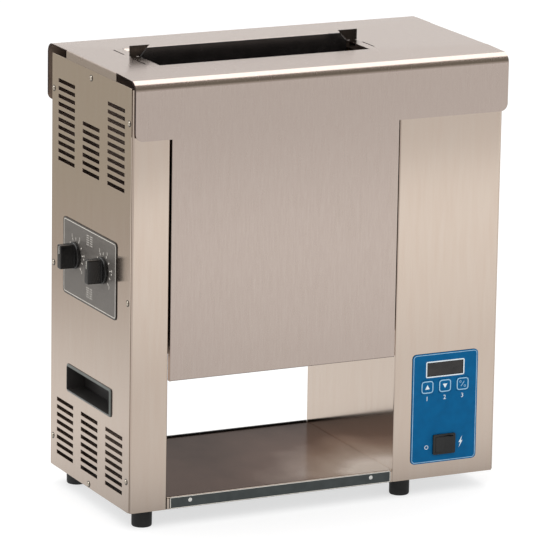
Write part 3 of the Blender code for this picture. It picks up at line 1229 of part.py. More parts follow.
def make_fan(carrier):
    """Axial fan that draws air through the grille in the tower's back wall."""
    centre = (TOWER_BACK_X, BASE + FAN_Z)
    rear = BACK - SHEET - CLEARANCE
    frame = drawn([rounded_box(centre, FAN_SIZE, FAN_SIZE, FAN_CORNER)], FAN_DEPTH, "Y", rear - FAN_DEPTH / 2)
    duct = bar(centre, FAN_DUCT_RADIUS, "Y", (rear - FAN_DEPTH - OVERRUN, rear + OVERRUN), DUCT_STEPS)
    cut(frame, duct)
    front = rear - FAN_DEPTH
    half = FAN_STRUT_WIDTH / 2
    reach = FAN_DUCT_RADIUS + FAN_TIP_GAP
    back = front + FAN_STRUT_DEPTH
    struts = [block((centre[0] - reach, front + 2 * CLEARANCE, centre[1] - half),
                    (centre[0] + reach, back - CLEARANCE, centre[1] + half)),
              block((centre[0] - half, front + 3 * CLEARANCE, centre[1] - reach),
                    (centre[0] + half, back - 2 * CLEARANCE, centre[1] + reach))]
    seat = bar(centre, FAN_HUB_RADIUS - FAN_TIP_GAP, "Y", (front + CLEARANCE, back))
    publish(join(frame, *struts, seat), "fan_frame", "black_plastic")

    low, high = front + FAN_STRUT_DEPTH + CLEARANCE, rear - FAN_TIP_GAP
    rotor = bar(centre, FAN_HUB_RADIUS, "Y", (low, high))
    length = FAN_DUCT_RADIUS - FAN_TIP_GAP - FAN_HUB_RADIUS / 2
    middle = FAN_HUB_RADIUS / 2 + length / 2
    for index in range(FAN_BLADES):
        shape = bmesh.new()
        pitch = Matrix.Rotation(FAN_BLADE_PITCH, 4, "X")
        size = Matrix.Diagonal((length, FAN_BLADE_CHORD * math.sin(FAN_BLADE_PITCH), FAN_BLADE_THICKNESS, 1))
        around = Matrix.Rotation(2 * math.pi * index / FAN_BLADES, 4, "Y")
        place = Matrix.Translation((centre[0], (low + high) / 2, centre[1]))
        bmesh.ops.create_cube(shape, size=1,
                              matrix=place @ around @ Matrix.Translation((middle, 0, 0)) @ pitch @ size)
        mesh = bpy.data.meshes.new("blade")
        shape.to_mesh(mesh)
        shape.free()
        join(rotor, new_object(mesh))
    publish(rotor, "fan_rotor", "black_plastic", carrier)


def make_gland():
    """Cable gland in the tower's back wall, with an open bore, and the terminal block it leads to."""
    centre = (TOWER_BACK_X, BASE + GLAND_Z)
    out = BACK + CLEARANCE
    end = out + GLAND_LENGTH
    inside = BACK - SHEET - GLAND_INSIDE
    gland = bar(centre, GLAND_BODY_RADIUS, "Y", (out, out + GLAND_FLANGE), HEXAGON)
    nut = bar(centre, GLAND_NUT_RADIUS, "Y", (out + GLAND_FLANGE / 2, end))
    thread = bar(centre, GLAND_THREAD_RADIUS, "Y", (inside, out + GLAND_FLANGE / 2))
    bore = bar(centre, GLAND_BORE_RADIUS, "Y", (inside - OVERRUN, end + OVERRUN), BORE_STEPS)
    publish(cut(join(gland, nut, thread), bore), "cable_gland", "black_plastic")

    low = BASE + PAN_SHEET + CLEARANCE
    middle_y = (BACK - GLAND_INSIDE) / 2
    half = TERMINAL_LENGTH / 2
    body = block((TOWER_BACK_X - half, middle_y - TERMINAL_DEPTH / 2, low),
                 (TOWER_BACK_X + half, middle_y + TERMINAL_DEPTH / 2, low + TERMINAL_HEIGHT))
    pitch = TERMINAL_LENGTH / TERMINAL_WAYS
    slots = []
    for way in range(TERMINAL_WAYS):
        x = TOWER_BACK_X - half + way * pitch
        slots.append(((x + TERMINAL_WALL / 2, middle_y - TERMINAL_DEPTH / 2 - OVERRUN,
                       low + TERMINAL_HEIGHT - TERMINAL_SLOT_DEPTH),
                      (x + pitch - TERMINAL_WALL / 2, middle_y + TERMINAL_DEPTH / 2 + OVERRUN,
                       low + TERMINAL_HEIGHT + OVERRUN)))
    publish(cut(body, blocks(slots)), "terminal_block", "black_plastic")


def conveyor_axes(word, y, knob_y, toward, rise):
    """The empties and places that one conveyor hangs on."""
    drive = axis_at(f"{word}_drive_axis", (MID_X, y, DRIVE_AXIS_Z))
    tilt = axis_at(f"{word}_tilt_axis", (MID_X, y, DRIVE_AXIS_Z))
    idler = axis_at(f"{word}_idler_axis", (MID_X, y, IDLER_AXIS_Z), tilt)
    knob = axis_at(f"{word}_knob_axis", (LEFT, knob_y, KNOB_AXIS_Z))
    pin_y = knob_y + SCROLL_PATH_RADIUS * math.cos(toward)
    return {"drive": drive, "tilt": tilt, "idler": idler, "knob": knob, "knob_place": (knob_y, KNOB_AXIS_Z),
            "pin": (pin_y, KNOB_AXIS_Z), "toward": toward, "rise": rise}


def main():
    make_base()
    make_towers()
    make_side_panels()
    make_handle_cups()
    cover = axis_at("cover_lift", (MID_X, 0, COVER_TOP))
    make_top_cover(cover)
    make_divider(axis_at("divider_lift", (LANE_MID_X, LANE_MID_Y, COVER_TOP), cover))
    make_platen()
    half = KNOB_SPACING / 2
    front = conveyor_axes("front", FRONT_ROLLER_Y, -half, math.pi, SCROLL_RISE_PER_RADIAN)
    rear = conveyor_axes("rear", REAR_ROLLER_Y, half, 0.0, SCROLL_RISE_PER_RADIAN)
    make_conveyor("front", FRONT_ROLLER_Y, 1, front)
    make_conveyor("rear", REAR_ROLLER_Y, -1, rear)
    make_chain_drive({"motor": axis_at("motor_axis", (SPROCKET_X, MOTOR_Y, BASE + MOTOR_Z))})
    make_gearmotor()
    make_control_panel([axis_at(f"{word}_key_push", (x, FRONT, z))
                        for word, (x, z) in zip(("left", "middle", "right"), key_places())])
    make_power_switch(axis_at("rocker_axis", (*rocker_pivot(), BASE + SWITCH_Z)))
    make_fan(axis_at("fan_axis", (TOWER_BACK_X, BACK - FAN_DEPTH / 2, BASE + FAN_Z)))
    make_gland()


main()
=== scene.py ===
"""Looks of the vertical contact toaster: finishes, printed marks and fine forms on its fixed frame.

Lengths are in metres. MM turns millimetres into metres. X runs to the right seen from the front,
Y to the back and Z up, with the floor at zero.
"""

import json
import math

import bmesh
import bpy
import numpy as np
from mathutils import Matrix, Vector

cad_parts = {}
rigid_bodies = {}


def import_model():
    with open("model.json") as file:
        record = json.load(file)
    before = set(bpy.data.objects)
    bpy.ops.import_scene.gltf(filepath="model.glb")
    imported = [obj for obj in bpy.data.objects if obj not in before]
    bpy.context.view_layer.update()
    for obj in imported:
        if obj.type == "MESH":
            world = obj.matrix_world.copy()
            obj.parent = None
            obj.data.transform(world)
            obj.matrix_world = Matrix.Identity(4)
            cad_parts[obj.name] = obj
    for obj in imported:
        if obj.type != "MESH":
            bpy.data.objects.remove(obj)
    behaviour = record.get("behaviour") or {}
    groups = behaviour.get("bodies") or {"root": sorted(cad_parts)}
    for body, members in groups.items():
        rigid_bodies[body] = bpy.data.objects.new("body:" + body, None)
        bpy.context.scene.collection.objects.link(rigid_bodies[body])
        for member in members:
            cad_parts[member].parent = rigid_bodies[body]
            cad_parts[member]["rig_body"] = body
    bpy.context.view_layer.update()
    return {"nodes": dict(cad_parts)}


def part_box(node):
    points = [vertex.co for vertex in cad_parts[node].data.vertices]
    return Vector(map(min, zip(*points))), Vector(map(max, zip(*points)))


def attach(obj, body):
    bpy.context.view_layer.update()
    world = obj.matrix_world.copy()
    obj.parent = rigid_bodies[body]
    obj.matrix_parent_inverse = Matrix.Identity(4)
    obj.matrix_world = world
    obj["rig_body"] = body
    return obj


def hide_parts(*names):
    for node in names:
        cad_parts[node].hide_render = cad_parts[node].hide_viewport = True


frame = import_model()

MM = 0.001

# Camera, fitted to the photo: 550 pixels square, focal length in those pixels
PHOTO_SIDE = 550
FOCAL_PIXELS = 4627.08
SENSOR = 36.0
CAMERA_PLACE = (-2.7424, -5.65194, 1.86155)
CAMERA_YAW = math.radians(25.993)
CAMERA_DOWN = math.radians(13.911)
CAMERA_ROLL = math.radians(-0.942)
CAMERA_REACH = 60.0

# Sheet metal: the bends drawn in the solids, and what a press brake leaves outside and inside
SHEET = 1.2 * MM
DRAWN_BEND = 2.4 * MM
PRESS_BEND = 0.7 * MM
INNER_BEND = 0.15 * MM
OUTER_REACH = 1.1 * MM

# Points closer than this are one, and ink stands this high
WELD = 0.001 * MM
INK = 0.06 * MM

WHITE = (1.0, 1.0, 1.0, 1.0)


def grey(level):
    """A linear grey with full alpha."""
    return (level, level, level, 1.0)


def hex_colour(code):
    """sRGB hex to linear values with full alpha."""
    channels = np.array([int(code[i:i + 2], 16) for i in (0, 2, 4)]) / 255
    linear = np.where(channels <= 0.04045, channels / 12.92, ((channels + 0.055) / 1.055) ** 2.4)
    return (*linear.tolist(), 1.0)


def add(tree, kind, settings=None, sockets=None):
    """Add a shader node, with its own settings and its sockets set to values or linked."""
    made = tree.nodes.new("ShaderNode" + kind)
    for name, value in (settings or {}).items():
        setattr(made, name, value)
    for name, value in (sockets or {}).items():
        socket = made.inputs[name]
        if isinstance(value, bpy.types.NodeSocket):
            tree.links.new(value, socket)
        else:
            socket.default_value = value
    return made


def new_material(name, colour, roughness, metallic=0.0):
    """A material with its main shader set; returns the material, its tree and the shader."""
    made = bpy.data.materials.new(name)
    made.use_nodes = True
    shader = made.node_tree.nodes["Principled BSDF"]
    shader.inputs["Base Color"].default_value = hex_colour(colour)
    shader.inputs["Roughness"].default_value = roughness
    shader.inputs["Metallic"].default_value = metallic
    return made, made.node_tree, shader


def place_camera():
    """The camera's own axes from its yaw, its tilt down and its roll."""
    yaw, down, roll = CAMERA_YAW, CAMERA_DOWN, CAMERA_ROLL
    ahead = Vector((math.sin(yaw) * math.cos(down), math.cos(yaw) * math.cos(down), -math.sin(down)))
    level = Vector((math.cos(yaw), -math.sin(yaw), 0))
    below = ahead.cross(level)
    right = math.cos(roll) * level + math.sin(roll) * below
    under = math.cos(roll) * below - math.sin(roll) * level
    data = bpy.data.cameras.new("photo_camera")
    data.lens = FOCAL_PIXELS * SENSOR / PHOTO_SIDE
    data.sensor_width = SENSOR
    data.clip_end = CAMERA_REACH
    camera = bpy.data.objects.new("photo_camera", data)
    bpy.context.scene.collection.objects.link(camera)
    turn = Matrix((right, -under, -ahead)).transposed()
    camera.matrix_world = Matrix.Translation(CAMERA_PLACE) @ turn.to_4x4()
    bpy.context.scene.camera = camera


place_camera()
bpy.context.scene.view_settings.view_transform = "Standard"


# Light: plain for diffuse rays. Reflections see a studio: a bright ceiling, a pale wall behind, a room
# in front that is dark above its horizon, and a floor brightest in front to the right, dim at the left.
# The first two tables go by a reflection's height, the floor's by Y in metres.
CEILING_AND_BACK = ((0.0, 1.05), (0.12, 1.04), (0.17, 0.97), (0.20, 0.92), (0.23, 0.74), (0.25, 0.66),
                    (0.28, 0.62), (0.36, 0.55), (0.43, 0.80), (0.48, 2.2), (1.0, 2.3))
ROOM_IN_FRONT = ((0.0, (0.62, 0.60, 0.58)), (0.10, (0.56, 0.54, 0.52)), (0.22, (0.36, 0.34, 0.31)),
                 (0.32, (0.20, 0.19, 0.16)), (0.78, (0.26, 0.24, 0.21)), (0.88, (0.15, 0.11, 0.11)),
                 (1.0, (0.15, 0.11, 0.11)))
FRONT_EDGE = (-0.22, -0.30)
FLOOR_SPAN = 8.0
# In the floor's glow for reflections, the dip to 0.45 at Y = -0.17, just in front of the machine, is the
# machine's shadow painted on the floor.
BRIGHT_FLOOR = ((-8.0, 0.70), (-6.0, 0.80), (-4.6, 0.86), (-3.4, 0.84), (-2.7, 0.70), (-2.2, 0.74),
                (-1.9, 0.98), (-1.6, 1.0), (-1.15, 0.92), (-0.85, 0.84), (-0.6, 0.85), (-0.47, 0.84),
                (-0.35, 0.78), (-0.25, 0.65), (-0.17, 0.45), (0.0, 0.70), (0.35, 0.94), (0.8, 0.96),
                (8.0, 0.3))
DIM_FLOOR = ((-8.0, (0.15, 0.14, 0.13)), (-0.5, (0.18, 0.17, 0.16)), (-0.1, (0.79, 0.78, 0.78)),
             (0.5, (0.79, 0.785, 0.78)), (0.8, (0.745, 0.73, 0.71)), (1.4, (0.555, 0.525, 0.486)),
             (2.0, (0.51, 0.49, 0.43)), (8.0, (0.48, 0.46, 0.41)))
LIT_EDGE = (-0.75, -0.38)
BRIGHTER_SPAN = (-0.3, 0.7)
BRIGHTER_LEVELS = (0.89, 1.03)

# What the world gives diffuse rays, and the floor's glow and matt share as the camera sees it
WORLD_LEVEL = 0.86
FLOOR_GLOW = 0.62
FLOOR_MATT = 0.5
FLOOR_HALF = 12.0

# Lamps: name, place, side and power
LAMPS = (("key", (-1.5, -2.2, 2.6), 1.6, 26.0), ("top", (0.4, 0.6, 3.0), 2.2, 20.0))
LAMP_AIM = (0.0, 0.0, 0.3)


def spread(tree, value, low, high, start=0.3, end=0.7):
    """Turn a value that runs from start to end, such as noise, into a range."""
    return add(tree, "MapRange", sockets={"Value": value, "From Min": start, "From Max": end,
                                          "To Min": low, "To Max": high}).outputs[0]


def coordinates(tree, kind="Object"):
    """X, Y and Z of the place on the object, or of the direction in the world."""
    return add(tree, "SeparateXYZ", sockets={"Vector": add(tree, "TexCoord").outputs[kind]}).outputs


def soft_step(tree, value, low, high):
    """Zero before low, one after high, smooth between."""
    return add(tree, "MapRange", {"interpolation_type": "SMOOTHSTEP"},
               {"Value": value, "From Min": low, "From Max": high}).outputs[0]


def mirrored(tree, path):
    """One for the rays that come off a mirror or through glass."""
    return add(tree, "Math", {"operation": "MAXIMUM"},
               {0: path.outputs["Is Glossy Ray"], 1: path.outputs["Is Transmission Ray"]}).outputs[0]


def ramp(tree, value, stops, low=0.0, high=1.0):
    """Levels or colours by a value that runs from low to high."""
    made = add(tree, "ValToRGB", sockets={"Fac": spread(tree, value, 0.0, 1.0, low, high)})
    spots = made.color_ramp.elements
    for spot, (at, level) in zip([spots[0], spots[1]] + [spots.new(0.5) for _ in stops[2:]], stops):
        spot.position = (at - low) / (high - low)
        spot.color = (*level, 1.0) if isinstance(level, tuple) else grey(level)
    return made.outputs["Color"]


def light_studio():
    """Camera rays see white, diffuse rays a plain level, and glossy rays the studio by direction."""
    world = bpy.data.worlds.new("studio")
    world.use_nodes = True
    bpy.context.scene.world = world
    tree = world.node_tree
    tree.nodes.clear()
    path = add(tree, "LightPath")
    way = coordinates(tree, "Generated")
    studio = add(tree, "MixRGB", sockets={"Fac": soft_step(tree, way["Y"], *FRONT_EDGE),
                                          "Color1": ramp(tree, way["Z"], CEILING_AND_BACK),
                                          "Color2": ramp(tree, way["Z"], ROOM_IN_FRONT)})
    plain = add(tree, "MixRGB", sockets={"Fac": path.outputs["Is Camera Ray"],
                                         "Color1": grey(WORLD_LEVEL), "Color2": WHITE})
    colour = add(tree, "MixRGB", sockets={"Fac": mirrored(tree, path), "Color1": plain.outputs["Color"],
                                          "Color2": studio.outputs["Color"]})
    shade = add(tree, "Background", sockets={"Color": colour.outputs["Color"]})
    add(tree, "OutputWorld", sockets={"Surface": shade.outputs[0]})

    for name, place, size, power in LAMPS:
        data = bpy.data.lights.new(name, "AREA")
        data.size = size
        data.energy = power
        lamp = bpy.data.objects.new(name, data)
        lamp.location = place
        lamp.rotation_euler = (Vector(LAMP_AIM) - Vector(place)).to_track_quat("-Z", "Y").to_euler()
        lamp.visible_glossy = False
        bpy.context.scene.collection.objects.link(lamp)


def lay_floor():
    """Pale floor: matt for light, near white for the camera, and for reflections a glow of painted studio
    light with a painted shadow just in front of the machine.
    """
    half = FLOOR_HALF
    mesh = bpy.data.meshes.new("floor")
    mesh.from_pydata([(-half, -half, 0), (half, -half, 0), (half, half, 0), (-half, half, 0)], [],
                     [(0, 1, 2, 3)])
    floor = bpy.data.objects.new("floor", mesh)
    bpy.context.scene.collection.objects.link(floor)
    # Matt painted studio floor
    made, tree, shader = new_material("matt_white_floor", "F2F2F2", 0.9)
    tree.nodes.remove(shader)
    path = add(tree, "LightPath")
    place = coordinates(tree)
    matt = add(tree, "BsdfDiffuse", sockets={"Color": grey(0.9)})
    glow = add(tree, "Emission", sockets={"Strength": FLOOR_GLOW})
    half_matt = add(tree, "BsdfDiffuse", sockets={"Color": grey(FLOOR_MATT)})
    seen = add(tree, "AddShader", sockets={0: glow.outputs[0], 1: half_matt.outputs[0]})
    plain = add(tree, "MixShader", sockets={0: path.outputs["Is Camera Ray"], 1: matt.outputs[0],
                                            2: seen.outputs[0]})
    tone = add(tree, "MixRGB", sockets={
        "Fac": soft_step(tree, place["X"], *LIT_EDGE),
        "Color1": ramp(tree, place["Y"], DIM_FLOOR, -FLOOR_SPAN, FLOOR_SPAN),
        "Color2": ramp(tree, place["Y"], BRIGHT_FLOOR, -FLOOR_SPAN, FLOOR_SPAN)})
    brighter = spread(tree, place["X"], *BRIGHTER_LEVELS, *BRIGHTER_SPAN)
    mirror = add(tree, "Emission", sockets={"Color": tone.outputs["Color"], "Strength": brighter})
    mixed = add(tree, "MixShader", sockets={0: mirrored(tree, path), 1: plain.outputs[0],
                                            2: mirror.outputs[0]})
    tree.links.new(mixed.outputs[0], tree.nodes["Material Output"].inputs["Surface"])
    mesh.materials.append(made)


light_studio()
lay_floor()


# Finishes
def object_noise(tree, size, detail=2.0, rough=0.5):
    """Noise on Object coordinates whose features are `size` millimetres along X, Y and Z."""
    scale = tuple(1 / (side * MM) for side in size)
    grain = add(tree, "Mapping", sockets={"Vector": add(tree, "TexCoord").outputs["Object"],
                                          "Scale": scale})
    return add(tree, "TexNoise", sockets={"Vector": grain.outputs[0], "Scale": 1.0, "Detail": detail,
                                          "Roughness": rough}).outputs["Fac"]


def coloured(tree, shader, value, dark, light):
    """Give the surface a colour between two, by a value from 0 to 1."""
    mixed = add(tree, "MixRGB", sockets={"Fac": value, "Color1": hex_colour(dark),
                                         "Color2": hex_colour(light)})
    tree.links.new(mixed.outputs["Color"], shader.inputs["Base Color"])


def glossed(tree, shader, value, low, high):
    """Give the surface a roughness between two, by noise."""
    tree.links.new(spread(tree, value, low, high), shader.inputs["Roughness"])


def rise(tree, shader, value, height):
    """Bump whose full height is in millimetres."""
    bump = add(tree, "Bump", sockets={"Strength": 1.0, "Distance": height * MM, "Height": value})
    tree.links.new(bump.outputs[0], shader.inputs["Normal"])


# Share of the fine lines in a metal's pattern, and a small tilt that keeps a tangent off zero
LINE_SHARE = 0.45
OFF_ZERO = (0.011, 0.013, 0.0)


def grained_metal(name, dark, light, roughness, grain, cloud, swing=0.04, height=0.004):
    """Metal with a grain: fine lines, longer soft streaks and broad cloudiness."""
    made, tree, shader = new_material(name, light, roughness, 1.0)
    lines = object_noise(tree, grain, 3.0, 0.6)
    streaks = object_noise(tree, cloud, 2.0, 0.55)
    part = add(tree, "Math", {"operation": "MULTIPLY"}, {0: lines, 1: LINE_SHARE})
    both = add(tree, "Math", {"operation": "MULTIPLY_ADD"},
               {0: streaks, 1: 1 - LINE_SHARE, 2: part.outputs[0]})
    value = spread(tree, both.outputs[0], 0.0, 1.0, 0.36, 0.64)
    coloured(tree, shader, value, dark, light)
    glossed(tree, shader, both.outputs[0], roughness + swing, roughness - swing)
    rise(tree, shader, lines, height)
    return made, tree, shader


def across_grain(made, tree, shader, share, towards=None):
    """Let the grain spread light across its lines: along X, or level with the floor on any wall."""
    shader.inputs["Anisotropic"].default_value = share
    if towards is None:
        facing = add(tree, "NewGeometry").outputs["Normal"]
        level = add(tree, "VectorMath", {"operation": "CROSS_PRODUCT"},
                    {0: facing, 1: (0.0, 0.0, 1.0)})
        off_zero = add(tree, "VectorMath", {"operation": "ADD"}, {0: level.outputs[0], 1: OFF_ZERO})
        tree.links.new(off_zero.outputs[0], shader.inputs["Tangent"])
    else:
        way = add(tree, "CombineXYZ", sockets=dict(zip("XYZ", towards)))
        tree.links.new(way.outputs[0], shader.inputs["Tangent"])
    return made


def moulded(name, colour, light, roughness, grit, height, metallic=0.0):
    """Moulded or coated skin: small even grit, a little cloudiness in colour and gloss."""
    made, tree, shader = new_material(name, colour, roughness, metallic)
    fine = object_noise(tree, (grit, grit, grit), 2.0)
    broad = object_noise(tree, (14, 14, 14), 2.0)
    coloured(tree, shader, spread(tree, broad, 0.0, 1.0), colour, light)
    glossed(tree, shader, fine, roughness - 0.05, roughness + 0.06)
    rise(tree, shader, fine, height)
    return made


# Stainless steel, No. 4 finish: belt ground along Z, so light spreads across upright lines
no4_stainless = across_grain(*grained_metal("no4_ground_stainless", "C6B6AC", "CABBB1", 0.26,
                                            (0.7, 8, 8), (2.4, 30, 30), 0.02, 0.0002),
                             0.85, (1.0, 0.03, 0.05))

# Stainless steel, bright cold rolled: nearly a mirror, with a faint rolling grain
bright_stainless = across_grain(*grained_metal("bright_rolled_stainless", "D6C4B5", "D8C8BA", 0.13,
                                               (1.2, 1.2, 50), (9, 9, 90), 0.01, 0.0001), 0.8)

# The same sheet's inner side, dull from the mill, its darker tone painted shade: the case reads dark brown
# through its vents
mill_side_painted_shade = grained_metal("dull_mill_stainless_painted_shade", "7C6A5E", "8A786C", 0.6, (3, 3, 3), (20, 20, 20),
                               0.05, 0.001)[0]
mill_side_painted_shade.node_tree.nodes["Principled BSDF"].inputs["Metallic"].default_value = 0.3

# The cover's laser-cut edges and hems: a dark purplish oxide
oxidised_stainless = grained_metal("heat_oxidised_stainless", "43322F", "4F3D39", 0.5, (1, 1, 1),
                                   (12, 12, 12))[0]

# Stainless steel on the ears over the slot: a smoky mirror whose dark tone is a painted reflection of the
# dark slot below
ear_painted_dark_reflection = across_grain(*grained_metal("ear_stainless_painted_dark_reflection", "3C3835", "4A4541", 0.26,
                                               (1.2, 1.2, 50), (9, 9, 90), 0.02, 0.0001), 0.5)

# Zinc plated steel: cloudy grey, satin
zinc_plate = grained_metal("zinc_plated_steel", "8F9294", "ADB0B1", 0.42, (2, 2, 2), (16, 16, 16),
                           0.06)[0]

# Cast and turned aluminium: pale, fine even grit
cast_aluminium = grained_metal("cast_aluminium", "A2A4A5", "B8BABB", 0.46, (0.8, 0.8, 0.8),
                               (10, 10, 10), 0.05)[0]

# Nickel plated steel screws: bright and warm
nickel_plate = grained_metal("nickel_plated_steel", "B8AD9E", "D8CEC0", 0.18, (0.8, 0.8, 0.8),
                             (5, 5, 5), 0.03)[0]

# Acrylonitrile butadiene styrene, spark eroded mould: black with a soft sheen
moulded_abs = moulded("moulded_black_abs", "141414", "1B1B1B", 0.36, 0.5, 0.01)

# The same plastic in the handles: dark grey in the cup; on the rim's slopes smoother, and lighter as a
# painted sheen
cup_abs = moulded("moulded_dark_grey_abs", "262423", "2E2C2A", 0.42, 0.5, 0.008)
rim_abs_painted_sheen = moulded("smooth_grey_abs_painted_sheen", "5A5E5A", "646864", 0.3, 0.5, 0.004)

# Phenolic knobs: harder and glossier black
phenolic = moulded("moulded_black_phenolic", "121110", "191817", 0.2, 0.6, 0.003)

# Nitrile rubber: matt black
rubber = moulded("nitrile_rubber", "161616", "222222", 0.62, 0.7, 0.03)

# Silicone coated belting: dark, slightly shiny
silicone = moulded("silicone_belting", "1A1817", "26211E", 0.45, 0.9, 0.03)

# Soft aluminium rivets, pale
rivet_aluminium = moulded("soft_rivet_aluminium", "DADAD6", "E6E6E2", 0.35, 0.6, 0.002, 0.35)

# Fluoropolymer coated steel: black satin
coated_steel = moulded("fluoropolymer_coated_steel", "1C1A19", "262322", 0.2, 0.8, 0.006, 0.3)

# Screen printed polyester overlay with a fine velvet texture
blue_polyester = moulded("blue_printed_polyester", "005686", "005E90", 0.42, 0.4, 0.006)
blue_polyester.node_tree.nodes["Principled BSDF"].inputs["Specular IOR Level"].default_value = 0.1

# Enamelled tag: dark green grey, satin
enamel_tag = moulded("dark_enamelled_tag", "323838", "3C4242", 0.36, 0.6, 0.006)

# Stoved enamel on the motor
motor_enamel = moulded("stoved_motor_enamel", "383C42", "444950", 0.45, 0.7, 0.02, 0.2)

# Natural nylon: milky, slightly waxy
nylon = moulded("natural_nylon", "DAD7CC", "E8E5DC", 0.42, 0.9, 0.01)

# Screen inks: matt, nearly even
white_ink = moulded("white_screen_ink", "D4DEE4", "E6EEF2", 0.5, 0.5, 0.004)
grey_ink = moulded("cream_screen_ink", "ECE6DC", "F6F0E6", 0.5, 0.5, 0.004)
blue_ink = moulded("pale_blue_screen_ink", "8DB9D6", "A5CBE2", 0.45, 0.5, 0.004)


# Heat tint on the deck, from the hottest part to bare steel, and how far in from its edges it runs
DECK_TONES = ((0.0, "402C20"), (0.22, "4E382C"), (0.36, "70584C"), (0.6, "A08C80"), (0.85, "CFC6BF"))
TINT_LEFT = 120 * MM
TINT_EDGE = 20 * MM


def heat_tinted_deck():
    """Stainless deck coloured by heat: brown and dull at the left and back, bare at the right front."""
    made, tree, shader = new_material("heat_tinted_stainless", "5A4236", 0.2, 1.0)
    low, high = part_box("landing_deck")
    place = coordinates(tree)
    across = spread(tree, place["X"], 0.24, 1.09, low.x + TINT_LEFT, high.x - TINT_EDGE)
    along = spread(tree, place["Y"], 0.0, 1.0, high.y, low.y + TINT_EDGE)
    clean = add(tree, "Math", {"operation": "MULTIPLY"}, {0: across, 1: along})
    stain = spread(tree, object_noise(tree, (70, 90, 70), 3.0, 0.5), -0.07, 0.07)
    mixed = add(tree, "Math", {"operation": "ADD"}, {0: clean.outputs[0], 1: stain})
    tone = ramp(tree, mixed.outputs[0], [(at, hex_colour(code)[:3]) for at, code in DECK_TONES])
    tree.links.new(tone, shader.inputs["Base Color"])
    glancing = add(tree, "MixRGB", sockets={"Fac": 0.66, "Color1": tone, "Color2": WHITE})
    tree.links.new(glancing.outputs["Color"], shader.inputs["Specular Tint"])
    fine = object_noise(tree, (0.9, 18, 18), 3.0)
    glossed(tree, shader, fine, 0.16, 0.22)
    rise(tree, shader, fine, 0.001)
    return made


def anodised_plate():
    """Grey anodised aluminium label: fine horizontal brushing, satin."""
    made, tree, shader = new_material("grey_anodised_aluminium", "76716C", 0.36, 0.35)
    lines = object_noise(tree, (1, 30, 0.8), 3.0)
    coloured(tree, shader, spread(tree, lines, 0.0, 1.0), "6A6560", "7A7570")
    glossed(tree, shader, lines, 0.30, 0.44)
    rise(tree, shader, lines, 0.002)
    return made


def smoked_acrylic():
    """Display window: dark smoked acrylic over an unlit display, glossy, with a faint cloudiness in its
    colour.
    """
    made, tree, shader = new_material("smoked_acrylic", "1E1A18", 0.12)
    cloud = object_noise(tree, (22, 22, 9), 2.0)
    coloured(tree, shader, spread(tree, cloud, 0.0, 1.0), "1B1716", "2C2825")
    glossed(tree, shader, cloud, 0.10, 0.16)
    return made


def circuit_board():
    """Green solder mask on glass epoxy, with fine darker tracks."""
    made, tree, shader = new_material("green_glass_epoxy", "1F5A34", 0.4)
    tracks = object_noise(tree, (1.6, 30, 6), 1.0)
    coloured(tree, shader, spread(tree, tracks, 0.0, 1.0, 0.47, 0.53), "17492A", "256B3E")
    rise(tree, shader, tracks, 0.03)
    return made


# Drawn thread spacing, and how many bands a wave texture of scale 1 has in a metre
WEAVE = 1.6 * MM
WAVE_BANDS = 20 / (2 * math.pi)


def woven_release_cloth():
    """Glass cloth coated with fluoropolymer: tan brown, a plain weave of 1 mm drawn as 1.6 mm to show."""
    made, tree, shader = new_material("coated_glass_cloth", "5B3A22", 0.42)
    where = add(tree, "TexCoord").outputs["Object"]
    warp, weft = (add(tree, "TexWave", {"bands_direction": axis},
                      {"Vector": where, "Scale": 1 / (WEAVE * WAVE_BANDS)}) for axis in "XZ")
    weave = add(tree, "Math", {"operation": "MULTIPLY"}, {0: warp.outputs["Fac"], 1: weft.outputs["Fac"]})
    coloured(tree, shader, weave.outputs[0], "4C2F1B", "6D4930")
    rise(tree, shader, weave.outputs[0], 0.08)
    return made


FINISH = {
    "brushed_steel": bright_stainless,
    "cover_steel": no4_stainless,
    "deck_steel": heat_tinted_deck(),
    "zinc_steel": zinc_plate,
    "cast_aluminium": cast_aluminium,
    "black_plastic": moulded_abs,
    "black_rubber": rubber,
    "silicone_belt": silicone,
    "black_coated_steel": coated_steel,
    "release_fabric": woven_release_cloth(),
    "grey_label": anodised_plate(),
    "dark_label": enamel_tag,
    "blue_overlay": blue_polyester,
    "dark_window": smoked_acrylic(),
    "green_board": circuit_board(),
    "white_nylon": nylon,
    "painted_motor": motor_enamel,
}


# Mesh helpers, and how many steps an eased edge, a turned piece and a round corner take
EASED_STEPS = 2
ROUND_STEPS = 64
CORNER_STEPS = 5


def quads(rows, columns):
    """Corners of the quads of a grid of points that are numbered row by row."""
    index = np.arange(rows * columns).reshape(rows, columns)
    return np.stack((index[:-1, :-1], index[1:, :-1], index[1:, 1:], index[:-1, 1:]), -1)


def piece(name, patches, material, body, replaced=(), turn_out=False):
    """One piece from patches of (points, faces of one corner count), welded where they meet."""
    points, faces, start = [], [], 0
    for corners, loops in patches:
        corners = np.asarray(corners, float).reshape(-1, 3)
        loops = np.asarray(loops)
        points.append(corners)
        faces += (loops.reshape(-1, loops.shape[-1]) + start).tolist()
        start += len(corners)
    mesh = bpy.data.meshes.new(name)
    mesh.from_pydata(np.concatenate(points).tolist(), [], faces)
    shape = bmesh.new()
    shape.from_mesh(mesh)
    bmesh.ops.remove_doubles(shape, verts=shape.verts, dist=WELD)
    if turn_out:
        bmesh.ops.recalc_face_normals(shape, faces=shape.faces)
    shape.to_mesh(mesh)
    shape.free()
    return publish(name, mesh, material, body, replaced)


def publish(name, mesh, material, body, replaced=()):
    """Put a finished mesh in the scene on its body, standing for the nodes it replaces."""
    made = bpy.data.objects.new(name, mesh)
    bpy.context.scene.collection.objects.link(made)
    mesh.materials.clear()
    mesh.materials.append(material)
    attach(made, body)
    if replaced:
        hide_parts(*replaced)
    return made


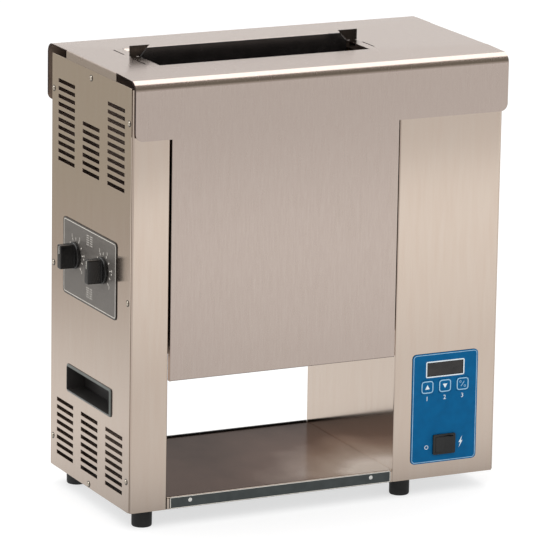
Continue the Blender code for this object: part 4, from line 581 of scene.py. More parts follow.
def eased(made, width, angle=38.0):
    """Round the sharp edges a little and shade the rest smooth, with the flats kept flat."""
    made.data.polygons.foreach_set("use_smooth", np.ones(len(made.data.polygons), bool))
    made.data.set_sharp_from_angle(angle=math.radians(angle))
    if width:
        edge = made.modifiers.new("Bevel", "BEVEL")
        edge.width = width
        edge.segments = EASED_STEPS
        edge.limit_method = "ANGLE"
        edge.angle_limit = math.radians(angle)
        edge.use_clamp_overlap = True
    flat = made.modifiers.new("Weighted", "WEIGHTED_NORMAL")
    flat.keep_sharp = True
    return made


TOWERS = ("left_tower_shell", "right_tower_shell")
CASE_SHEETS = (*TOWERS, "left_side_panel", "right_side_panel")
JOIN_ANGLE = math.radians(0.5)


def dressed(node, width, material=None):
    """A copy of a node's mesh, its triangles joined into faces and its edges eased."""
    source = frame["nodes"][node]
    slot = source.data.materials[0].name.split(".")[0]
    mesh = source.data.copy()
    mesh.name = f"{node}_finished"
    shape = bmesh.new()
    shape.from_mesh(mesh)
    bmesh.ops.remove_doubles(shape, verts=shape.verts, dist=WELD)
    bmesh.ops.dissolve_limit(shape, angle_limit=JOIN_ANGLE, verts=shape.verts, edges=shape.edges)
    shape.to_mesh(mesh)
    shape.free()
    if node in TOWERS:
        sharpen_bends(mesh, *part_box(node))
    finish = material or FINISH[slot]
    made = publish(f"{node}_finished", mesh, finish, source["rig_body"], (node,))
    if node in CASE_SHEETS:
        darken_inside(made, node)
    if node == "landing_deck":
        made.data.materials.append(bright_stainless)
        for face in made.data.polygons:
            face.material_index = int(face.normal.y < -0.5)
    return eased(made, width)


def sharpen_bends(mesh, low, high):
    """Draw the four upright bends in to a press brake's radius: arcs shrink, flats grow to meet them."""
    spots = np.empty(len(mesh.vertices) * 3)
    mesh.vertices.foreach_get("co", spots)
    spots = spots.reshape(-1, 3)
    for x, inward in ((low.x, 1), (high.x, -1)):
        for y, forward in ((low.y, 1), (high.y, -1)):
            away = spots[:, :2] - (x + inward * DRAWN_BEND, y + forward * DRAWN_BEND)
            reach = np.hypot(*away.T)
            beyond = (away[:, 0] * inward < WELD) & (away[:, 1] * forward < WELD)
            arc = beyond & (reach < DRAWN_BEND + WELD)
            outer = reach > DRAWN_BEND - SHEET / 2
            for part, radius, inset in ((arc & outer, PRESS_BEND, PRESS_BEND),
                                        (arc & ~outer, INNER_BEND, SHEET + INNER_BEND)):
                drawn = away[part] / reach[part][:, None] * radius
                spots[part, :2] = drawn + (x + inward * inset, y + forward * inset)
    mesh.vertices.foreach_set("co", spots.ravel())
    mesh.update()


def darken_inside(made, node):
    """Give the mill side's finish, darkened as painted shade, to every face that doesn't lie on the
    outline of its sheet part.
    """
    made.data.materials.append(mill_side_painted_shade)
    low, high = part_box(node)
    for face in made.data.polygons:
        outside = False
        for axis in range(3):
            lean = face.normal[axis]
            limit = high[axis] if lean > 0 else low[axis]
            outside |= abs(lean) > 0.3 and abs(limit - face.center[axis]) < OUTER_REACH
        face.material_index = 0 if outside else 1


def ring_grid(rings, place, axis):
    """Grid through circles of (height, radius), set up along an axis."""
    turn = np.linspace(0, 2 * math.pi, ROUND_STEPS + 1)
    height, radius = (np.array(column)[:, None] for column in zip(*rings))
    first, second = radius * np.cos(turn), radius * np.sin(turn)
    points = np.stack((first, second, height + 0 * first), -1)
    if axis == "X":
        points = np.stack((-points[..., 2], -points[..., 0], points[..., 1]), -1)
    points = points + np.asarray(place)
    return points, quads(*points.shape[:2])


def box_grid(levels, place, outward):
    """Grid through rounded boxes of (reach, size along Y, along Z, corner) in mm, set out along X."""
    loops = []
    for reach, deep, tall, corner in levels:
        loop = rounded(deep, tall, corner)
        loops.append([(outward * reach, a, b) for a, b in loop + loop[:1]])
    points = np.array(loops) * MM + np.asarray(place)
    return points, quads(*points.shape[:2])


# Face frames: origin, right and up as someone who looks at the face sees them, and the way out
def on_front(x, z, y):
    """For a face that looks to -Y."""
    return Vector((x, y, z)), Vector((1, 0, 0)), Vector((0, 0, 1)), Vector((0, -1, 0))


def on_left(y, z, x):
    """For a face that looks to -X."""
    return Vector((x, y, z)), Vector((0, -1, 0)), Vector((0, 0, 1)), Vector((-1, 0, 0))


def on_right(y, z, x):
    """For a face that looks to +X."""
    return Vector((x, y, z)), Vector((0, 1, 0)), Vector((0, 0, 1)), Vector((1, 0, 0))


def on_top(x, y, z):
    """For a face that looks up."""
    return Vector((x, y, z)), Vector((1, 0, 0)), Vector((0, 1, 0)), Vector((0, 0, 1))


def printed(name, outlines, face, material, body, thickness=INK):
    """Ink on a face: flat outlines in millimetres, raised by its thickness."""
    origin, right, up, out = face
    shape = bmesh.new()
    for outline in outlines:
        corners = [shape.verts.new(origin + right * a * MM + up * b * MM) for a, b in outline]
        shape.faces.new(corners)
    bmesh.ops.remove_doubles(shape, verts=shape.verts, dist=WELD)
    bmesh.ops.recalc_face_normals(shape, faces=shape.faces)
    for patch in shape.faces:
        if patch.normal.dot(out) < 0:
            patch.normal_flip()
    mesh = bpy.data.meshes.new(name)
    shape.to_mesh(mesh)
    shape.free()
    made = publish(name, mesh, material, body)
    raised = made.modifiers.new("Solidify", "SOLIDIFY")
    raised.thickness = thickness
    raised.offset = 1.0
    return made


def rounded(width, height, radius, centre=(0.0, 0.0)):
    """Outline of a box with round corners, in millimetres, anticlockwise."""
    points = []
    for quarter, (side, up) in enumerate(((1, 1), (-1, 1), (-1, -1), (1, -1))):
        for share in np.linspace(0, 1, CORNER_STEPS + 1):
            angle = (quarter + share) * math.pi / 2
            points.append((centre[0] + side * (width / 2 - radius) + radius * math.cos(angle),
                           centre[1] + up * (height / 2 - radius) + radius * math.sin(angle)))
    return points


def band(outer, inner):
    """Quads between two closed outlines with the same number of points."""
    count = len(outer)
    return [[outer[i], outer[(i + 1) % count], inner[(i + 1) % count], inner[i]] for i in range(count)]


def frame_line(width, height, radius, line, centre=(0.0, 0.0)):
    """A closed line of one width, its outside a rounded box."""
    inner = rounded(width - 2 * line, height - 2 * line, max(radius - line, 0.05), centre)
    return band(rounded(width, height, radius, centre), inner)


def stroke(start, end, line):
    """A straight mark between two points."""
    start, end = np.array(start, float), np.array(end, float)
    along = (end - start) / np.linalg.norm(end - start)
    side = np.array((-along[1], along[0])) * line / 2
    return [start - side, end - side, end + side, start + side]


def disc(centre, radius, steps=16):
    """Points of a circle."""
    turn = np.arange(steps) * 2 * math.pi / steps
    return np.column_stack((centre[0] + radius * np.cos(turn), centre[1] + radius * np.sin(turn)))


def ring(centre, radii, steps=16):
    """A round line between two radii."""
    return band(*(disc(centre, radius, steps) for radius in radii))


def numeral(text, size, centre):
    """Outlines of a plain numeral, set as text, made a mesh and centred; size is in millimetres."""
    curve = bpy.data.curves.new("numeral", "FONT")
    curve.body = text
    curve.size = size
    curve.align_x = "CENTER"
    curve.align_y = "CENTER"
    curve.resolution_u = 3
    holder = bpy.data.objects.new("numeral", curve)
    bpy.context.scene.collection.objects.link(holder)
    bpy.context.view_layer.update()
    evaluated = holder.evaluated_get(bpy.context.evaluated_depsgraph_get())
    mesh = bpy.data.meshes.new_from_object(evaluated)
    flat = [[(mesh.vertices[v].co.x + centre[0], mesh.vertices[v].co.y + centre[1]) for v in face.vertices]
            for face in mesh.polygons]
    bpy.data.objects.remove(holder)
    bpy.data.meshes.remove(mesh)
    return flat


# Top cover: radii, falls and cut-outs of its own
COVER_BEND = 14 * MM
FRONT_FALL = 2.1 * MM
REAR_FALL = 0.8 * MM
SKIRT_DROP = 83.3 * MM
SKIRT_CORNER = 11 * MM
HEM = 3.6 * MM
HEM_INSET = 0.1 * MM
SLOT_HALF = 54 * MM
SLOT_CLEAR = 2.1 * MM
LIP_RADIUS = 9 * MM
LIP_DROP = 20 * MM
LIP_RELIEF = 1.5 * MM
SLIT_WIDTH = 2.2 * MM
SLIT_OFFSET = 14.5 * MM
SLIT_NEAR = 18 * MM
SLIT_LENGTH = 36 * MM
TAB_NEAR = 3.7 * MM
TAB_FAR = 12.3 * MM
TAB_HALF = 0.9 * MM
FLANGE_HALF = 85 * MM
FLANGE_BEND = 1.6 * MM
FLANGE_GAP = 0.3 * MM
APRON_STEP = 11.5 * MM
APRON_LONGER = 2.9 * MM
APRON_GAP = 2.2 * MM
APRON_BEND = 0.7 * MM
APRON_REACH = 6.0 * MM
APRON_FLANGE = 9.0 * MM
FOOT_BEND = 1.6 * MM
APRON_STEPS = 8

# Its places, worked out from the frame
COVER_LOW, COVER_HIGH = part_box("top_cover")
LEFT, RIGHT, TOP = COVER_LOW.x, COVER_HIGH.x, COVER_HIGH.z
SKIRT_Y = (COVER_HIGH.y - COVER_LOW.y) / 2
SKIRT_BOTTOM = TOP - SKIRT_DROP
APRON_Y = SKIRT_Y - APRON_STEP
APRON_FOOT = COVER_LOW.z - APRON_LONGER
APRON_X = (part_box("left_tower_shell")[1].x + APRON_GAP + APRON_BEND,
           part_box("right_tower_shell")[0].x - APRON_GAP - APRON_BEND)
DIVIDER_LOW, DIVIDER_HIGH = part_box("bun_divider")
LANE_Y = (DIVIDER_LOW.y + DIVIDER_HIGH.y) / 2
SLOT_LEFT, SLOT_RIGHT = DIVIDER_LOW.x - SLOT_CLEAR, DIVIDER_HIGH.x + SLOT_CLEAR
SLITS = [(x - SLIT_WIDTH / 2, x + SLIT_WIDTH / 2)
         for x in (SLOT_LEFT - SLIT_OFFSET, SLOT_RIGHT + SLIT_OFFSET)]
TABS = [(SLOT_LEFT - TAB_FAR, SLOT_LEFT - TAB_NEAR), (SLOT_RIGHT + TAB_NEAR, SLOT_RIGHT + TAB_FAR)]
CREASE_Y = SLOT_HALF + LIP_RADIUS
FLAT_END = SKIRT_Y - COVER_BEND
QUARTER = math.pi / 2
BEND_TURN = np.linspace(0, QUARTER, 5)


def cover_stations():
    """Places along X where a slit, a tab, a bend or a round end starts or stops, and some between."""
    round_ends = SKIRT_CORNER * (1 - np.cos(np.linspace(0.15, 1.5, 8)))
    stops = [LEFT, RIGHT, LEFT + FLANGE_BEND, RIGHT - FLANGE_BEND, SLOT_LEFT, SLOT_RIGHT,
             SLOT_LEFT + LIP_RELIEF, SLOT_RIGHT - LIP_RELIEF, *APRON_X]
    stops += [x for pair in SLITS + TABS for x in pair]
    stops += [*(LEFT + round_ends), *(RIGHT - round_ends)]
    stops += [*np.linspace(LEFT + 20 * MM, SLITS[0][0] - 4 * MM, 8)]
    stops += [*np.linspace(SLOT_LEFT + 12 * MM, SLOT_RIGHT - 12 * MM, 20)]
    stops += [*np.linspace(SLITS[1][1] + 4 * MM, RIGHT - 20 * MM, 12)]
    return np.array(sorted({round(x, 7) for x in stops}))


def hip_height(x, y):
    """Height of the top: a low hip, the lowest of a flat, two strips that fall to front and back from
    the slot, and two ends that fall to the sides, so creases run from the slot to the flanges."""
    away = np.maximum(SLOT_LEFT - x, (x - SLOT_RIGHT) * (SLOT_LEFT - LEFT) / (RIGHT - SLOT_RIGHT))
    end_fall = FRONT_FALL / (FLAT_END - CREASE_Y) * (FLANGE_HALF - CREASE_Y) / (SLOT_LEFT - LEFT)
    fall = np.where(y < 0, FRONT_FALL, REAR_FALL) / (FLAT_END - CREASE_Y)
    return TOP - np.maximum(0.0, np.maximum(fall * (np.abs(y) - CREASE_Y), end_fall * away))


def upright_path(shoulder):
    """Points of y and z in front, from the apron's foot up its face and the skirt to a shoulder."""
    path = [(-APRON_Y + APRON_FLANGE, APRON_FOOT)]
    path += [(-APRON_Y + FOOT_BEND * (1 - math.sin(a)), APRON_FOOT + FOOT_BEND * (1 - math.cos(a)))
             for a in BEND_TURN]
    path += [(-APRON_Y, z) for z in np.linspace(APRON_FOOT + FOOT_BEND, SKIRT_BOTTOM, APRON_STEPS)[1:]]
    path += [(-SKIRT_Y, SKIRT_BOTTOM + SKIRT_CORNER * (1 - math.cos(a)))
             for a in np.linspace(0, QUARTER, 9)]
    straight = np.linspace(SKIRT_BOTTOM + SKIRT_CORNER, shoulder - COVER_BEND, 6)
    path += [(-SKIRT_Y, z) for z in straight[1:-1]]
    return path + [(-SKIRT_Y + COVER_BEND * (1 - math.cos(a)), shoulder - COVER_BEND * (1 - math.sin(a)))
                   for a in np.linspace(0, QUARTER, 13)]


def cover_grid(front, rear):
    """The outside as a grid of x against the way along the section, from the front apron's foot over
    the top to the rear apron's foot, with what is cut out of it; also the columns beside the slot."""
    xs = cover_stations()
    rising, falling = ([(np.full_like(xs, y), np.full_like(xs, z)) for y, z in path]
                       for path in (front, rear))
    beyond_slot = np.where(xs < SLOT_LEFT, (SLOT_LEFT - xs) / (SLOT_LEFT - LEFT),
                           np.clip((xs - SLOT_RIGHT) / (RIGHT - SLOT_RIGHT), 0, None))
    crease = CREASE_Y + (FLANGE_HALF - CREASE_Y) * beyond_slot
    slopes = [-(FLAT_END + (crease - FLAT_END) * share) for share in np.linspace(0, 1, 6)[1:]]
    inner = [LANE_Y + y for y in (-SLIT_NEAR - SLIT_LENGTH, -SLIT_NEAR, -TAB_HALF, TAB_HALF, SLIT_NEAR,
                                  SLIT_NEAR + SLIT_LENGTH)]
    ways = slopes + [np.full_like(xs, y) for y in inner] + [-y for y in slopes[::-1]]
    columns = rising + [(y, hip_height(xs, y)) for y in ways] + [(-y, z) for y, z in falling[::-1]]
    ys, zs = (np.stack(values, 1) for values in zip(*columns))

    # Round lower corners of the skirts: the ends are pulled in along a quarter circle
    above = np.clip(SKIRT_CORNER - (zs - SKIRT_BOTTOM), 0, SKIRT_CORNER)
    pulled = SKIRT_CORNER - np.sqrt(SKIRT_CORNER ** 2 - above ** 2)
    points = np.stack((np.clip(xs[:, None], LEFT + pulled, RIGHT - pulled), ys, zs), -1)

    # Cut out: the slot, its slits and tabs, the ends of the top and the corners beside the aprons
    middle = (xs[:-1] + xs[1:])[:, None] / 2
    column = np.arange(len(columns) - 1)[None, :]
    first = len(front) + len(slopes) - 1
    last = first + len(inner)
    centre = (column >= first) & (column <= last)
    lost = centre & (middle > SLOT_LEFT) & (middle < SLOT_RIGHT)
    for near, far in SLITS:
        lost |= (middle > near) & (middle < far) & ((column == first + 1) | (column == last - 1))
    for near, far in TABS:
        lost |= (middle > near) & (middle < far) & (column == first + 3)
    lost |= centre & ((middle < LEFT + FLANGE_BEND) | (middle > RIGHT - FLANGE_BEND))
    apron_columns = len(BEND_TURN) + APRON_STEPS
    low_column = (column < apron_columns) | (column >= len(columns) - 1 - apron_columns)
    lost |= low_column & ((middle < APRON_X[0]) | (middle > APRON_X[1]))
    return xs, points, lost, slice(first, last + 2)


def faced(grid, turned):
    """A grid with its quads, turned over where the grid runs the other way round."""
    faces = quads(*grid.shape[:2])
    return grid, faces[..., ::-1] if turned else faces


def end_flange(rim, outer, inward):
    """A small bend down from the top's end, then straight down to the case."""
    sweep = BEND_TURN[:, None]
    across = outer + inward * FLANGE_BEND * (1 - np.sin(sweep)) + 0 * rim[:, 0]
    down = rim[:, 2] - FLANGE_BEND * (1 - np.cos(sweep))
    across = np.concatenate((across, across[-1:]))
    case_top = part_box("left_side_panel")[1].z
    down = np.concatenate((down, np.full((1, len(rim)), case_top + FLANGE_GAP)))
    return faced(np.stack((across, np.broadcast_to(rim[:, 1], across.shape), down), -1), inward > 0)


def apron_return(start, way, side):
    """A bend at an apron's edge, then back between the towers."""
    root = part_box("left_tower_shell")[1].y - APRON_REACH
    levels = np.append(APRON_FOOT, np.linspace(APRON_FOOT + FOOT_BEND, SKIRT_BOTTOM, APRON_STEPS))
    across = np.append(start + way * APRON_BEND * np.sin(BEND_TURN), start + way * APRON_BEND)
    deep = np.append(APRON_Y - APRON_BEND * (1 - np.cos(BEND_TURN)), root) * side
    grid = np.stack(np.broadcast_arrays(across[:, None], deep[:, None], levels[None, :]), -1)
    return faced(grid, side * way > 0)


def rolled_lip(xs, side):
    """A quarter round towards the slot, then straight down."""
    kept = xs[(xs > SLOT_LEFT + LIP_RELIEF - WELD) & (xs < SLOT_RIGHT - LIP_RELIEF + WELD)]
    sweep = np.linspace(0, QUARTER, 8)
    deep = side * np.append(CREASE_Y - LIP_RADIUS * np.sin(sweep), SLOT_HALF)
    down = np.append(TOP - LIP_RADIUS * (1 - np.cos(sweep)), TOP - LIP_RADIUS - LIP_DROP)
    grid = np.stack(np.broadcast_arrays(kept[:, None], deep[None, :], down[None, :]), -1)
    return faced(grid, side > 0)


def hem(shoulder, side, x, inward):
    """A narrow strip that follows the skirt and its bend, just inside the cover's end."""
    sweep = np.linspace(0, QUARTER, 13)
    centre = (-SKIRT_Y + COVER_BEND, shoulder - COVER_BEND)
    place = x + inward * HEM_INSET
    lines = []
    for reach in (COVER_BEND, COVER_BEND - HEM):
        bent = [(centre[0] - reach * math.cos(a), centre[1] + reach * math.sin(a)) for a in sweep]
        line = [(centre[0] - reach, SKIRT_BOTTOM + SKIRT_CORNER)] + bent
        lines.append([[place, side * y, z] for y, z in line])
    return faced(np.array(lines), inward * side < 0)


def make_top_cover():
    """Sheet folded from one blank, its ends folded in as hems."""
    shoulders = (TOP - FRONT_FALL, TOP - REAR_FALL)
    xs, points, lost, beside_slot = cover_grid(*map(upright_path, shoulders))
    patches = [(points, quads(*points.shape[:2])[~lost])]
    for outer, inward in ((LEFT, 1), (RIGHT, -1)):
        rim = points[np.argmin(np.abs(xs - outer - inward * FLANGE_BEND)), beside_slot]
        patches.append(end_flange(rim, outer, inward))
    patches += [apron_return(start, way, side) for side in (-1, 1)
                for start, way in zip(APRON_X, (-1, 1))]
    patches += [rolled_lip(xs, side) for side in (-1, 1)]
    cover = piece("top_cover_sheet", patches, no4_stainless, "top_cover", ("top_cover",))
    # The cover's inner side gets the mill finish, darkened as painted shade
    cover.data.materials.append(mill_side_painted_shade)
    cover.data.materials.append(oxidised_stainless)
    thick = cover.modifiers.new("Solidify", "SOLIDIFY")
    thick.thickness = SHEET
    thick.offset = -1.0
    thick.use_even_offset = True
    thick.material_offset = 1
    thick.material_offset_rim = 2
    eased(cover, 0.25 * MM, 50.0)

    strips = [hem(shoulder, side, x, inward) for side, shoulder in zip((1, -1), shoulders)
              for x, inward in ((LEFT, 1), (RIGHT, -1))]
    eased(piece("top_cover_hems", strips, oxidised_stainless, "top_cover"), 0.0)


make_top_cover()


# Knobs, feet and handles. Their profiles are in millimetres: (height or reach, inset) for what is
# turned, and (reach, size along Y, size along Z, corner) for what is rounded square.
KNOB_SKIRT = ((0.0, 0.8), (0.8, 0.0), (3.6, 0.0), (4.6, 0.4), (5.0, 1.2))
POINTER = ((0, 4), (0, 15.5), 1.1)
POINTER_LIFT = 0.02 * MM
CLOSED = (0.2, 0.2, 0.05)
HANDLE_LIFT = 1.3 * MM
HANDLE_WALL = 1.5
HANDLE_FRAME = ((-0.4, 147, 33, 2.4), (0.0, 152, 40, 3.4), (1.2, 152, 40, 3.4), (2.8, 146.6, 34.6, 2.4),
                (2.9, 145.8, 33.8, 2.0), (2.6, 145.2, 33.2, 1.8))
RIM_FROM = 1.3 * MM
RIM_TO = 2.8 * MM
FOOT_RECESS = ((4.0, 0.0), (4.0, 5.0), (0.4, 5.0), (0.0, 5.4))
FOOT_TREAD = ((0.0, 2.2), (0.4, 1.1), (1.1, 0.5), (2.2, 0.15))
FOOT_CROWN = ((1.0, 0.0), (0.3, 0.3), (0.0, 1.0))
FEET = ("foot_front_left", "foot_front_right", "foot_rear_left", "foot_rear_right")


def box_of(node):
    """Low corner, high corner, middle, and size in millimetres of a node's box."""
    low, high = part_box(node)
    return low, high, (low + high) / 2, (high - low) / MM


def make_knobs():
    """Round skirt with a square-ended bar grip whose sides lean in a little."""
    for word in ("front", "rear"):
        low, high, middle, size = box_of(f"{word}_knob")
        place = (high.x, middle.y, middle.z)
        base, reach = size.z / 2, size.x
        rings = [(0.0, 0.0)] + [(tall * MM, (base - inset) * MM) for tall, inset in KNOB_SKIRT]
        rings.append((rings[-1][0], 0.0))
        grip = ((4.6, *CLOSED), (4.6, 15.4, 34.6, 3.0), (5.6, 14.4, 34.4, 2.8),
                (reach - 0.8, 12.6, 34.0, 2.6), (reach - 0.25, 12.0, 33.4, 2.3),
                (reach, 10.8, 32.2, 1.8), (reach, *CLOSED))
        knob = piece(f"{word}_knob_finished", [ring_grid(rings, place, "X"), box_grid(grip, place, -1)],
                     phenolic, f"{word}_knob", (f"{word}_knob",), turn_out=True)
        eased(knob, 0.0, 50.0)
        face = on_left(middle.y, middle.z, low.x - POINTER_LIFT)
        printed(f"{word}_knob_pointer", [stroke(*POINTER)], face, grey_ink, f"{word}_knob")


def make_handles():
    """Recessed handles: a frame with sloping sides stands proud of the panel round a deep cup."""
    for word, outward in (("left", -1), ("right", 1)):
        _, _, middle, size = box_of(f"{word}_handle_cup")
        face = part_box(f"{word}_side_panel")[outward > 0].x
        deep = size.x - HANDLE_WALL
        place = (face, middle.y, middle.z + HANDLE_LIFT)
        levels = ((-deep, *CLOSED), (-deep, 146, 31, 2.0), *HANDLE_FRAME,
                  (2.5 - deep, 141, 30, 1.6), (2.5 - deep, *CLOSED))
        cup = piece(f"{word}_handle_finished", [box_grid(levels, place, outward)], cup_abs, "chassis",
                    (f"{word}_handle_cup",), turn_out=True)
        # The rim's outward slopes get the lighter grey: a painted sheen
        cup.data.materials.append(rim_abs_painted_sheen)
        for side in cup.data.polygons:
            reach = (side.center.x - face) * outward
            side.material_index = int(RIM_FROM < reach < RIM_TO and side.normal.x * outward > 0.3)
        eased(cup, 0.0, 30.0)


def make_feet():
    """Turned rubber feet with a rounded tread and a recess for the screw."""
    for name in FEET:
        low, _, middle, size = box_of(name)
        radius, tall = size.x / 2, size.z
        rings = [*FOOT_RECESS, *((up, radius - inset) for up, inset in FOOT_TREAD),
                 *((tall - down, radius - inset) for down, inset in FOOT_CROWN), (tall, 0.0)]
        rings = [(height * MM, across * MM) for height, across in rings]
        foot = piece(f"{name}_finished", [ring_grid(rings, (middle.x, middle.y, low.z), "Z")], rubber,
                     "chassis", (name,), turn_out=True)
        eased(foot, 0.0, 60.0)


make_knobs()
make_handles()
make_feet()


# Screws, the painted shadow rings round them, and rivets. Screw places are from the panel's middle and
# lower edge, in millimetres.
SCREW_SPOTS = [(0, 580), (0, 5.5)] + [(side * y, z) for side in (-1, 1)
                                      for y, z in ((128, 542), (127, 294), (126.5, 43))]
SCREW_RADIUS = 3.5 * MM
SCREW_TALL = 2.2 * MM
SCREW_CROSS = 0.8 * MM
SCREW_SHADOW_RADII = (4.5, 2.5)
SCREW_SHADOW_TALL = 0.4 * MM
RIVET_RADIUS = 2.9 * MM
RIVET_TALL = 0.9 * MM
RIVET_LEFT = 30.5 * MM
RIVET_RIGHT = 31.0 * MM
RIVET_UP = 10.5 * MM


def domes(name, spots, radius, tall, face, material, cross=0.0):
    """Domed heads: the height falls as the square of the radius, less a cross-shaped recess."""
    share = np.linspace(0, 1, 13)[:, None]
    turn = np.linspace(0, 2 * math.pi, 41)[None, :]
    dome = tall * (1 - 0.75 * share ** 2) + 0 * turn
    dome[-1] = 0.0
    blade = np.maximum(np.abs(np.cos(turn)), np.abs(np.sin(turn))) ** 30
    dome = dome - cross * blade * np.clip((0.62 - share) / 0.12, 0, 1)
    across, up_by = radius * share * np.cos(turn), radius * share * np.sin(turn)
    origin, right, up, out = (np.array(v) for v in face)
    patches = []
    for a, b in spots:
        points = (origin + (a + across)[..., None] * right + (b + up_by)[..., None] * up
                  + np.maximum(dome, 0.0)[..., None] * out)
        patches.append((points, quads(*points.shape[:2])))
    return eased(piece(name, patches, material, "chassis"), 0.0, 50.0)


def make_fasteners():
    """Eight screws on each side panel, each in a dark ring of painted shadow, and two rivets on the deck's
    front lip.
    """
    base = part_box("left_side_panel")[0].z
    for word, face in (("left", on_left(0, base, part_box("left_side_panel")[0].x)),
                       ("right", on_right(0, base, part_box("right_side_panel")[1].x))):
        domes(f"{word}_panel_screws", [(y * MM, z * MM) for y, z in SCREW_SPOTS], SCREW_RADIUS, SCREW_TALL,
              face, nickel_plate, SCREW_CROSS)
        # A dark ring under and round each screw head: painted shadow
        screw_shadow_rings = [quad for spot in SCREW_SPOTS for quad in ring(spot, SCREW_SHADOW_RADII, 24)]
        printed(f"{word}_screw_painted_shadows", screw_shadow_rings, face, coated_steel, "chassis",
                SCREW_SHADOW_TALL)
    low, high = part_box("deck_tag_plate")
    rivets = [(low.x + RIVET_LEFT, RIVET_UP), (high.x - RIVET_RIGHT, RIVET_UP)]
    domes("tag_rivets", rivets, RIVET_RADIUS, RIVET_TALL, on_front(0, base, low.y), rivet_aluminium)


make_fasteners()


# Printed marks, in millimetres from the middle of what carries them
DIAL_FRAME = (4.6, 4.0, 0.8)
DIAL_RIM = (-0.6, 6.3, 0.9)
DIAL_RIM_TALL = 0.55 * MM
TICKS = 11
TICK_FROM = 225
TICK_STEP = 27
TICK_NEAR = 21.0
TICK_FAR = 25.0
TICK_LINE = 1.3
DIAL_NUMERAL = 6.0
NUMERALS_AT = 28.5
SPOT_AT = 27.5
SPOT_RADIUS = 1.1
RULE_TOPS = (44, -30)
RULE_STARTS = (-10, 1.5)
RULE_LONG = 8.5
RULE_STEP = 3.2
RULE_LINE = 0.6
OVERLAY_FRAME = (3.0, 5.0, 0.8)
WINDOW_FRAME = (0.4, 2.4, 1.7)
KEY_FRAME = (18.6, 17.6, 4.4, 1.4)
KEY_NUMERAL = 9.0
KEY_NUMERAL_BELOW = 17.0
SWITCH_SIGNS_AT = 27
OFF_BELOW = 3
OFF_RADII = (3.0, 2.2)
BOLT = ((2.2, 8.5), (-3.0, -0.6), (-0.4, -0.6), (-2.6, -8.5), (3.0, 1.8), (0.6, 1.8))
UP_SIGN = ((-3.6, -2.9), (3.6, -2.9), (0, 3.4))
DOWN_SIGN = ((-3.6, 2.9), (0, -3.4), (3.6, 2.9))
SHARE_SIGN = ((-2.6, -3.6), (2.6, 3.6), 0.9)
SHARE_DOTS = ((-3.6, 3.4), (3.6, -3.4))
SHARE_RADII = (1.6, 1.0)
TAG_FRAME = (1.0, 1.6, 0.7)
BEAD_IN = 2.0 * MM
BEAD_WIDE = 2.4
BEAD_TALL = 2.0 * MM
BEAD_SHORT = 0.5


def framed(wide, tall, frame_size, centre=(0.0, 0.0)):
    """A closed line set in from a box's sides, from its (inset in all, corner, line)."""
    inset, corner, line = frame_size
    return frame_line(wide - inset, tall - inset, corner, line, centre)


def make_dial_marks():
    """Frame line, ticks and plain numbers round each knob, and a row of fine rules between them."""
    low, _, middle, size = box_of("dial_plate")
    marks = framed(size.y, size.z, DIAL_FRAME)
    for word in ("front", "rear"):
        knob = (box_of(f"{word}_knob")[2] - middle) / MM
        a, b = -knob.y, knob.z
        for step in range(TICKS):
            angle = math.radians(TICK_FROM - TICK_STEP * step)
            way = np.array((math.cos(angle), math.sin(angle)))
            marks.append(stroke((a, b) + way * TICK_NEAR, (a, b) + way * TICK_FAR, TICK_LINE))
            if step % 2 == 0:
                marks += numeral(str(step // 2), DIAL_NUMERAL, (a, b) + way * NUMERALS_AT)
        marks.append(disc((a + SPOT_AT, b), SPOT_RADIUS))
    for row in range(5):
        for top in RULE_TOPS:
            for start in RULE_STARTS:
                level = top - RULE_STEP * row
                marks.append(stroke((start, level), (start + RULE_LONG, level), RULE_LINE))
    printed("dial_marks", marks, on_left(middle.y, middle.z, low.x), grey_ink, "chassis")
    printed("dial_plate_rim", framed(size.y, size.z, DIAL_RIM),
            on_left(middle.y, middle.z, low.x + 0.5 * MM), coated_steel, "chassis",
            DIAL_RIM_TALL)


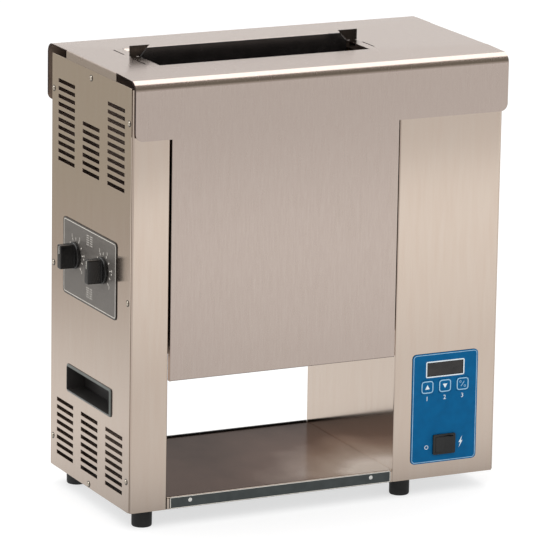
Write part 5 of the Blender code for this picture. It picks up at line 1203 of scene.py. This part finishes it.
def make_overlay_marks():
    """Frame lines, key frames, switch marks and plain numbers on the overlay."""
    low, _, middle, size = box_of("control_overlay")
    face = on_front(middle.x, middle.z, low.y)
    printed("overlay_frame_line", framed(size.x, size.z, OVERLAY_FRAME), face, blue_ink, "chassis")
    _, _, window, window_size = box_of("display_window")
    window = (window - middle) / MM
    marks = framed(window_size.x, window_size.z, WINDOW_FRAME, (window.x, window.z))
    for number, word in enumerate(("left", "middle", "right"), 1):
        key = (box_of(f"{word}_key")[2] - middle) / MM
        marks += numeral(str(number), KEY_NUMERAL, (key.x, key.z - KEY_NUMERAL_BELOW))
    switch = (box_of("power_switch_body")[2] - middle) / MM
    off = (switch.x - SWITCH_SIGNS_AT, switch.z - OFF_BELOW)
    marks += ring(off, OFF_RADII, 24)
    marks.append([(switch.x + SWITCH_SIGNS_AT + a, switch.z + b) for a, b in BOLT])
    printed("overlay_marks", marks, face, white_ink, "chassis")
    for word, sign in (("left", UP_SIGN), ("middle", DOWN_SIGN), ("right", None)):
        key_low, _, key, _ = box_of(f"{word}_key")
        face = on_front(key.x, key.z, key_low.y)
        outlines = frame_line(*KEY_FRAME)
        if sign:
            printed(f"{word}_key_sign", [sign], face, white_ink, f"{word}_key")
        else:
            outlines.append(stroke(*SHARE_SIGN))
            for dot in SHARE_DOTS:
                outlines += ring(dot, SHARE_RADII)
        printed(f"{word}_key_frame", outlines, face, blue_ink, f"{word}_key")


def make_tag_line():
    """Thin pale line round the bare tag on the deck's lip."""
    low, _, middle, size = box_of("deck_tag_plate")
    printed("tag_frame_line", framed(size.x, size.z, TAG_FRAME), on_front(middle.x, middle.z, low.y),
            grey_ink, "chassis")


def make_deck_bead():
    """A bead of black sealant along the deck's rear edge."""
    _, high, middle, size = box_of("landing_deck")
    half = size.x / 2 - BEAD_SHORT
    printed("deck_bead", [stroke((-half, 0), (half, 0), BEAD_WIDE)],
            on_top(middle.x, high.y - BEAD_IN, high.z), silicone, "chassis", BEAD_TALL)


make_dial_marks()
make_overlay_marks()
make_tag_line()
make_deck_bead()

# Every other node keeps its form, with its edges eased by so many millimetres
USUAL_EDGE = 0.2
EDGES = {
    0.0: ("drive_chain",),
    0.15: ("deck_tag_plate", "dial_plate", "control_overlay", "left_key", "middle_key", "right_key"),
    0.25: ("left_side_panel", "right_side_panel", "left_divider_ear", "right_divider_ear"),
    0.3: (*TOWERS, "landing_deck", "front_belt", "rear_belt"),
    0.4: ("fan_frame",),
    0.5: ("power_rocker", "cable_gland", "platen"),
    0.6: ("power_switch_body", "bun_divider"),
    0.8: ("gearmotor",),
}
EDGE_OF = {node: width for width, nodes in EDGES.items() for node in nodes}
DONE = {"top_cover", "front_knob", "rear_knob", "left_handle_cup", "right_handle_cup", *FEET}
for node in sorted(frame["nodes"]):
    if node not in DONE:
        # The divider ears take a darker stainless whose dark tone is a painted reflection of the slot
        # below
        painted_dark_ear = ear_painted_dark_reflection if node.endswith("divider_ear") else None
        dressed(node, EDGE_OF.get(node, USUAL_EDGE) * MM, painted_dark_ear)
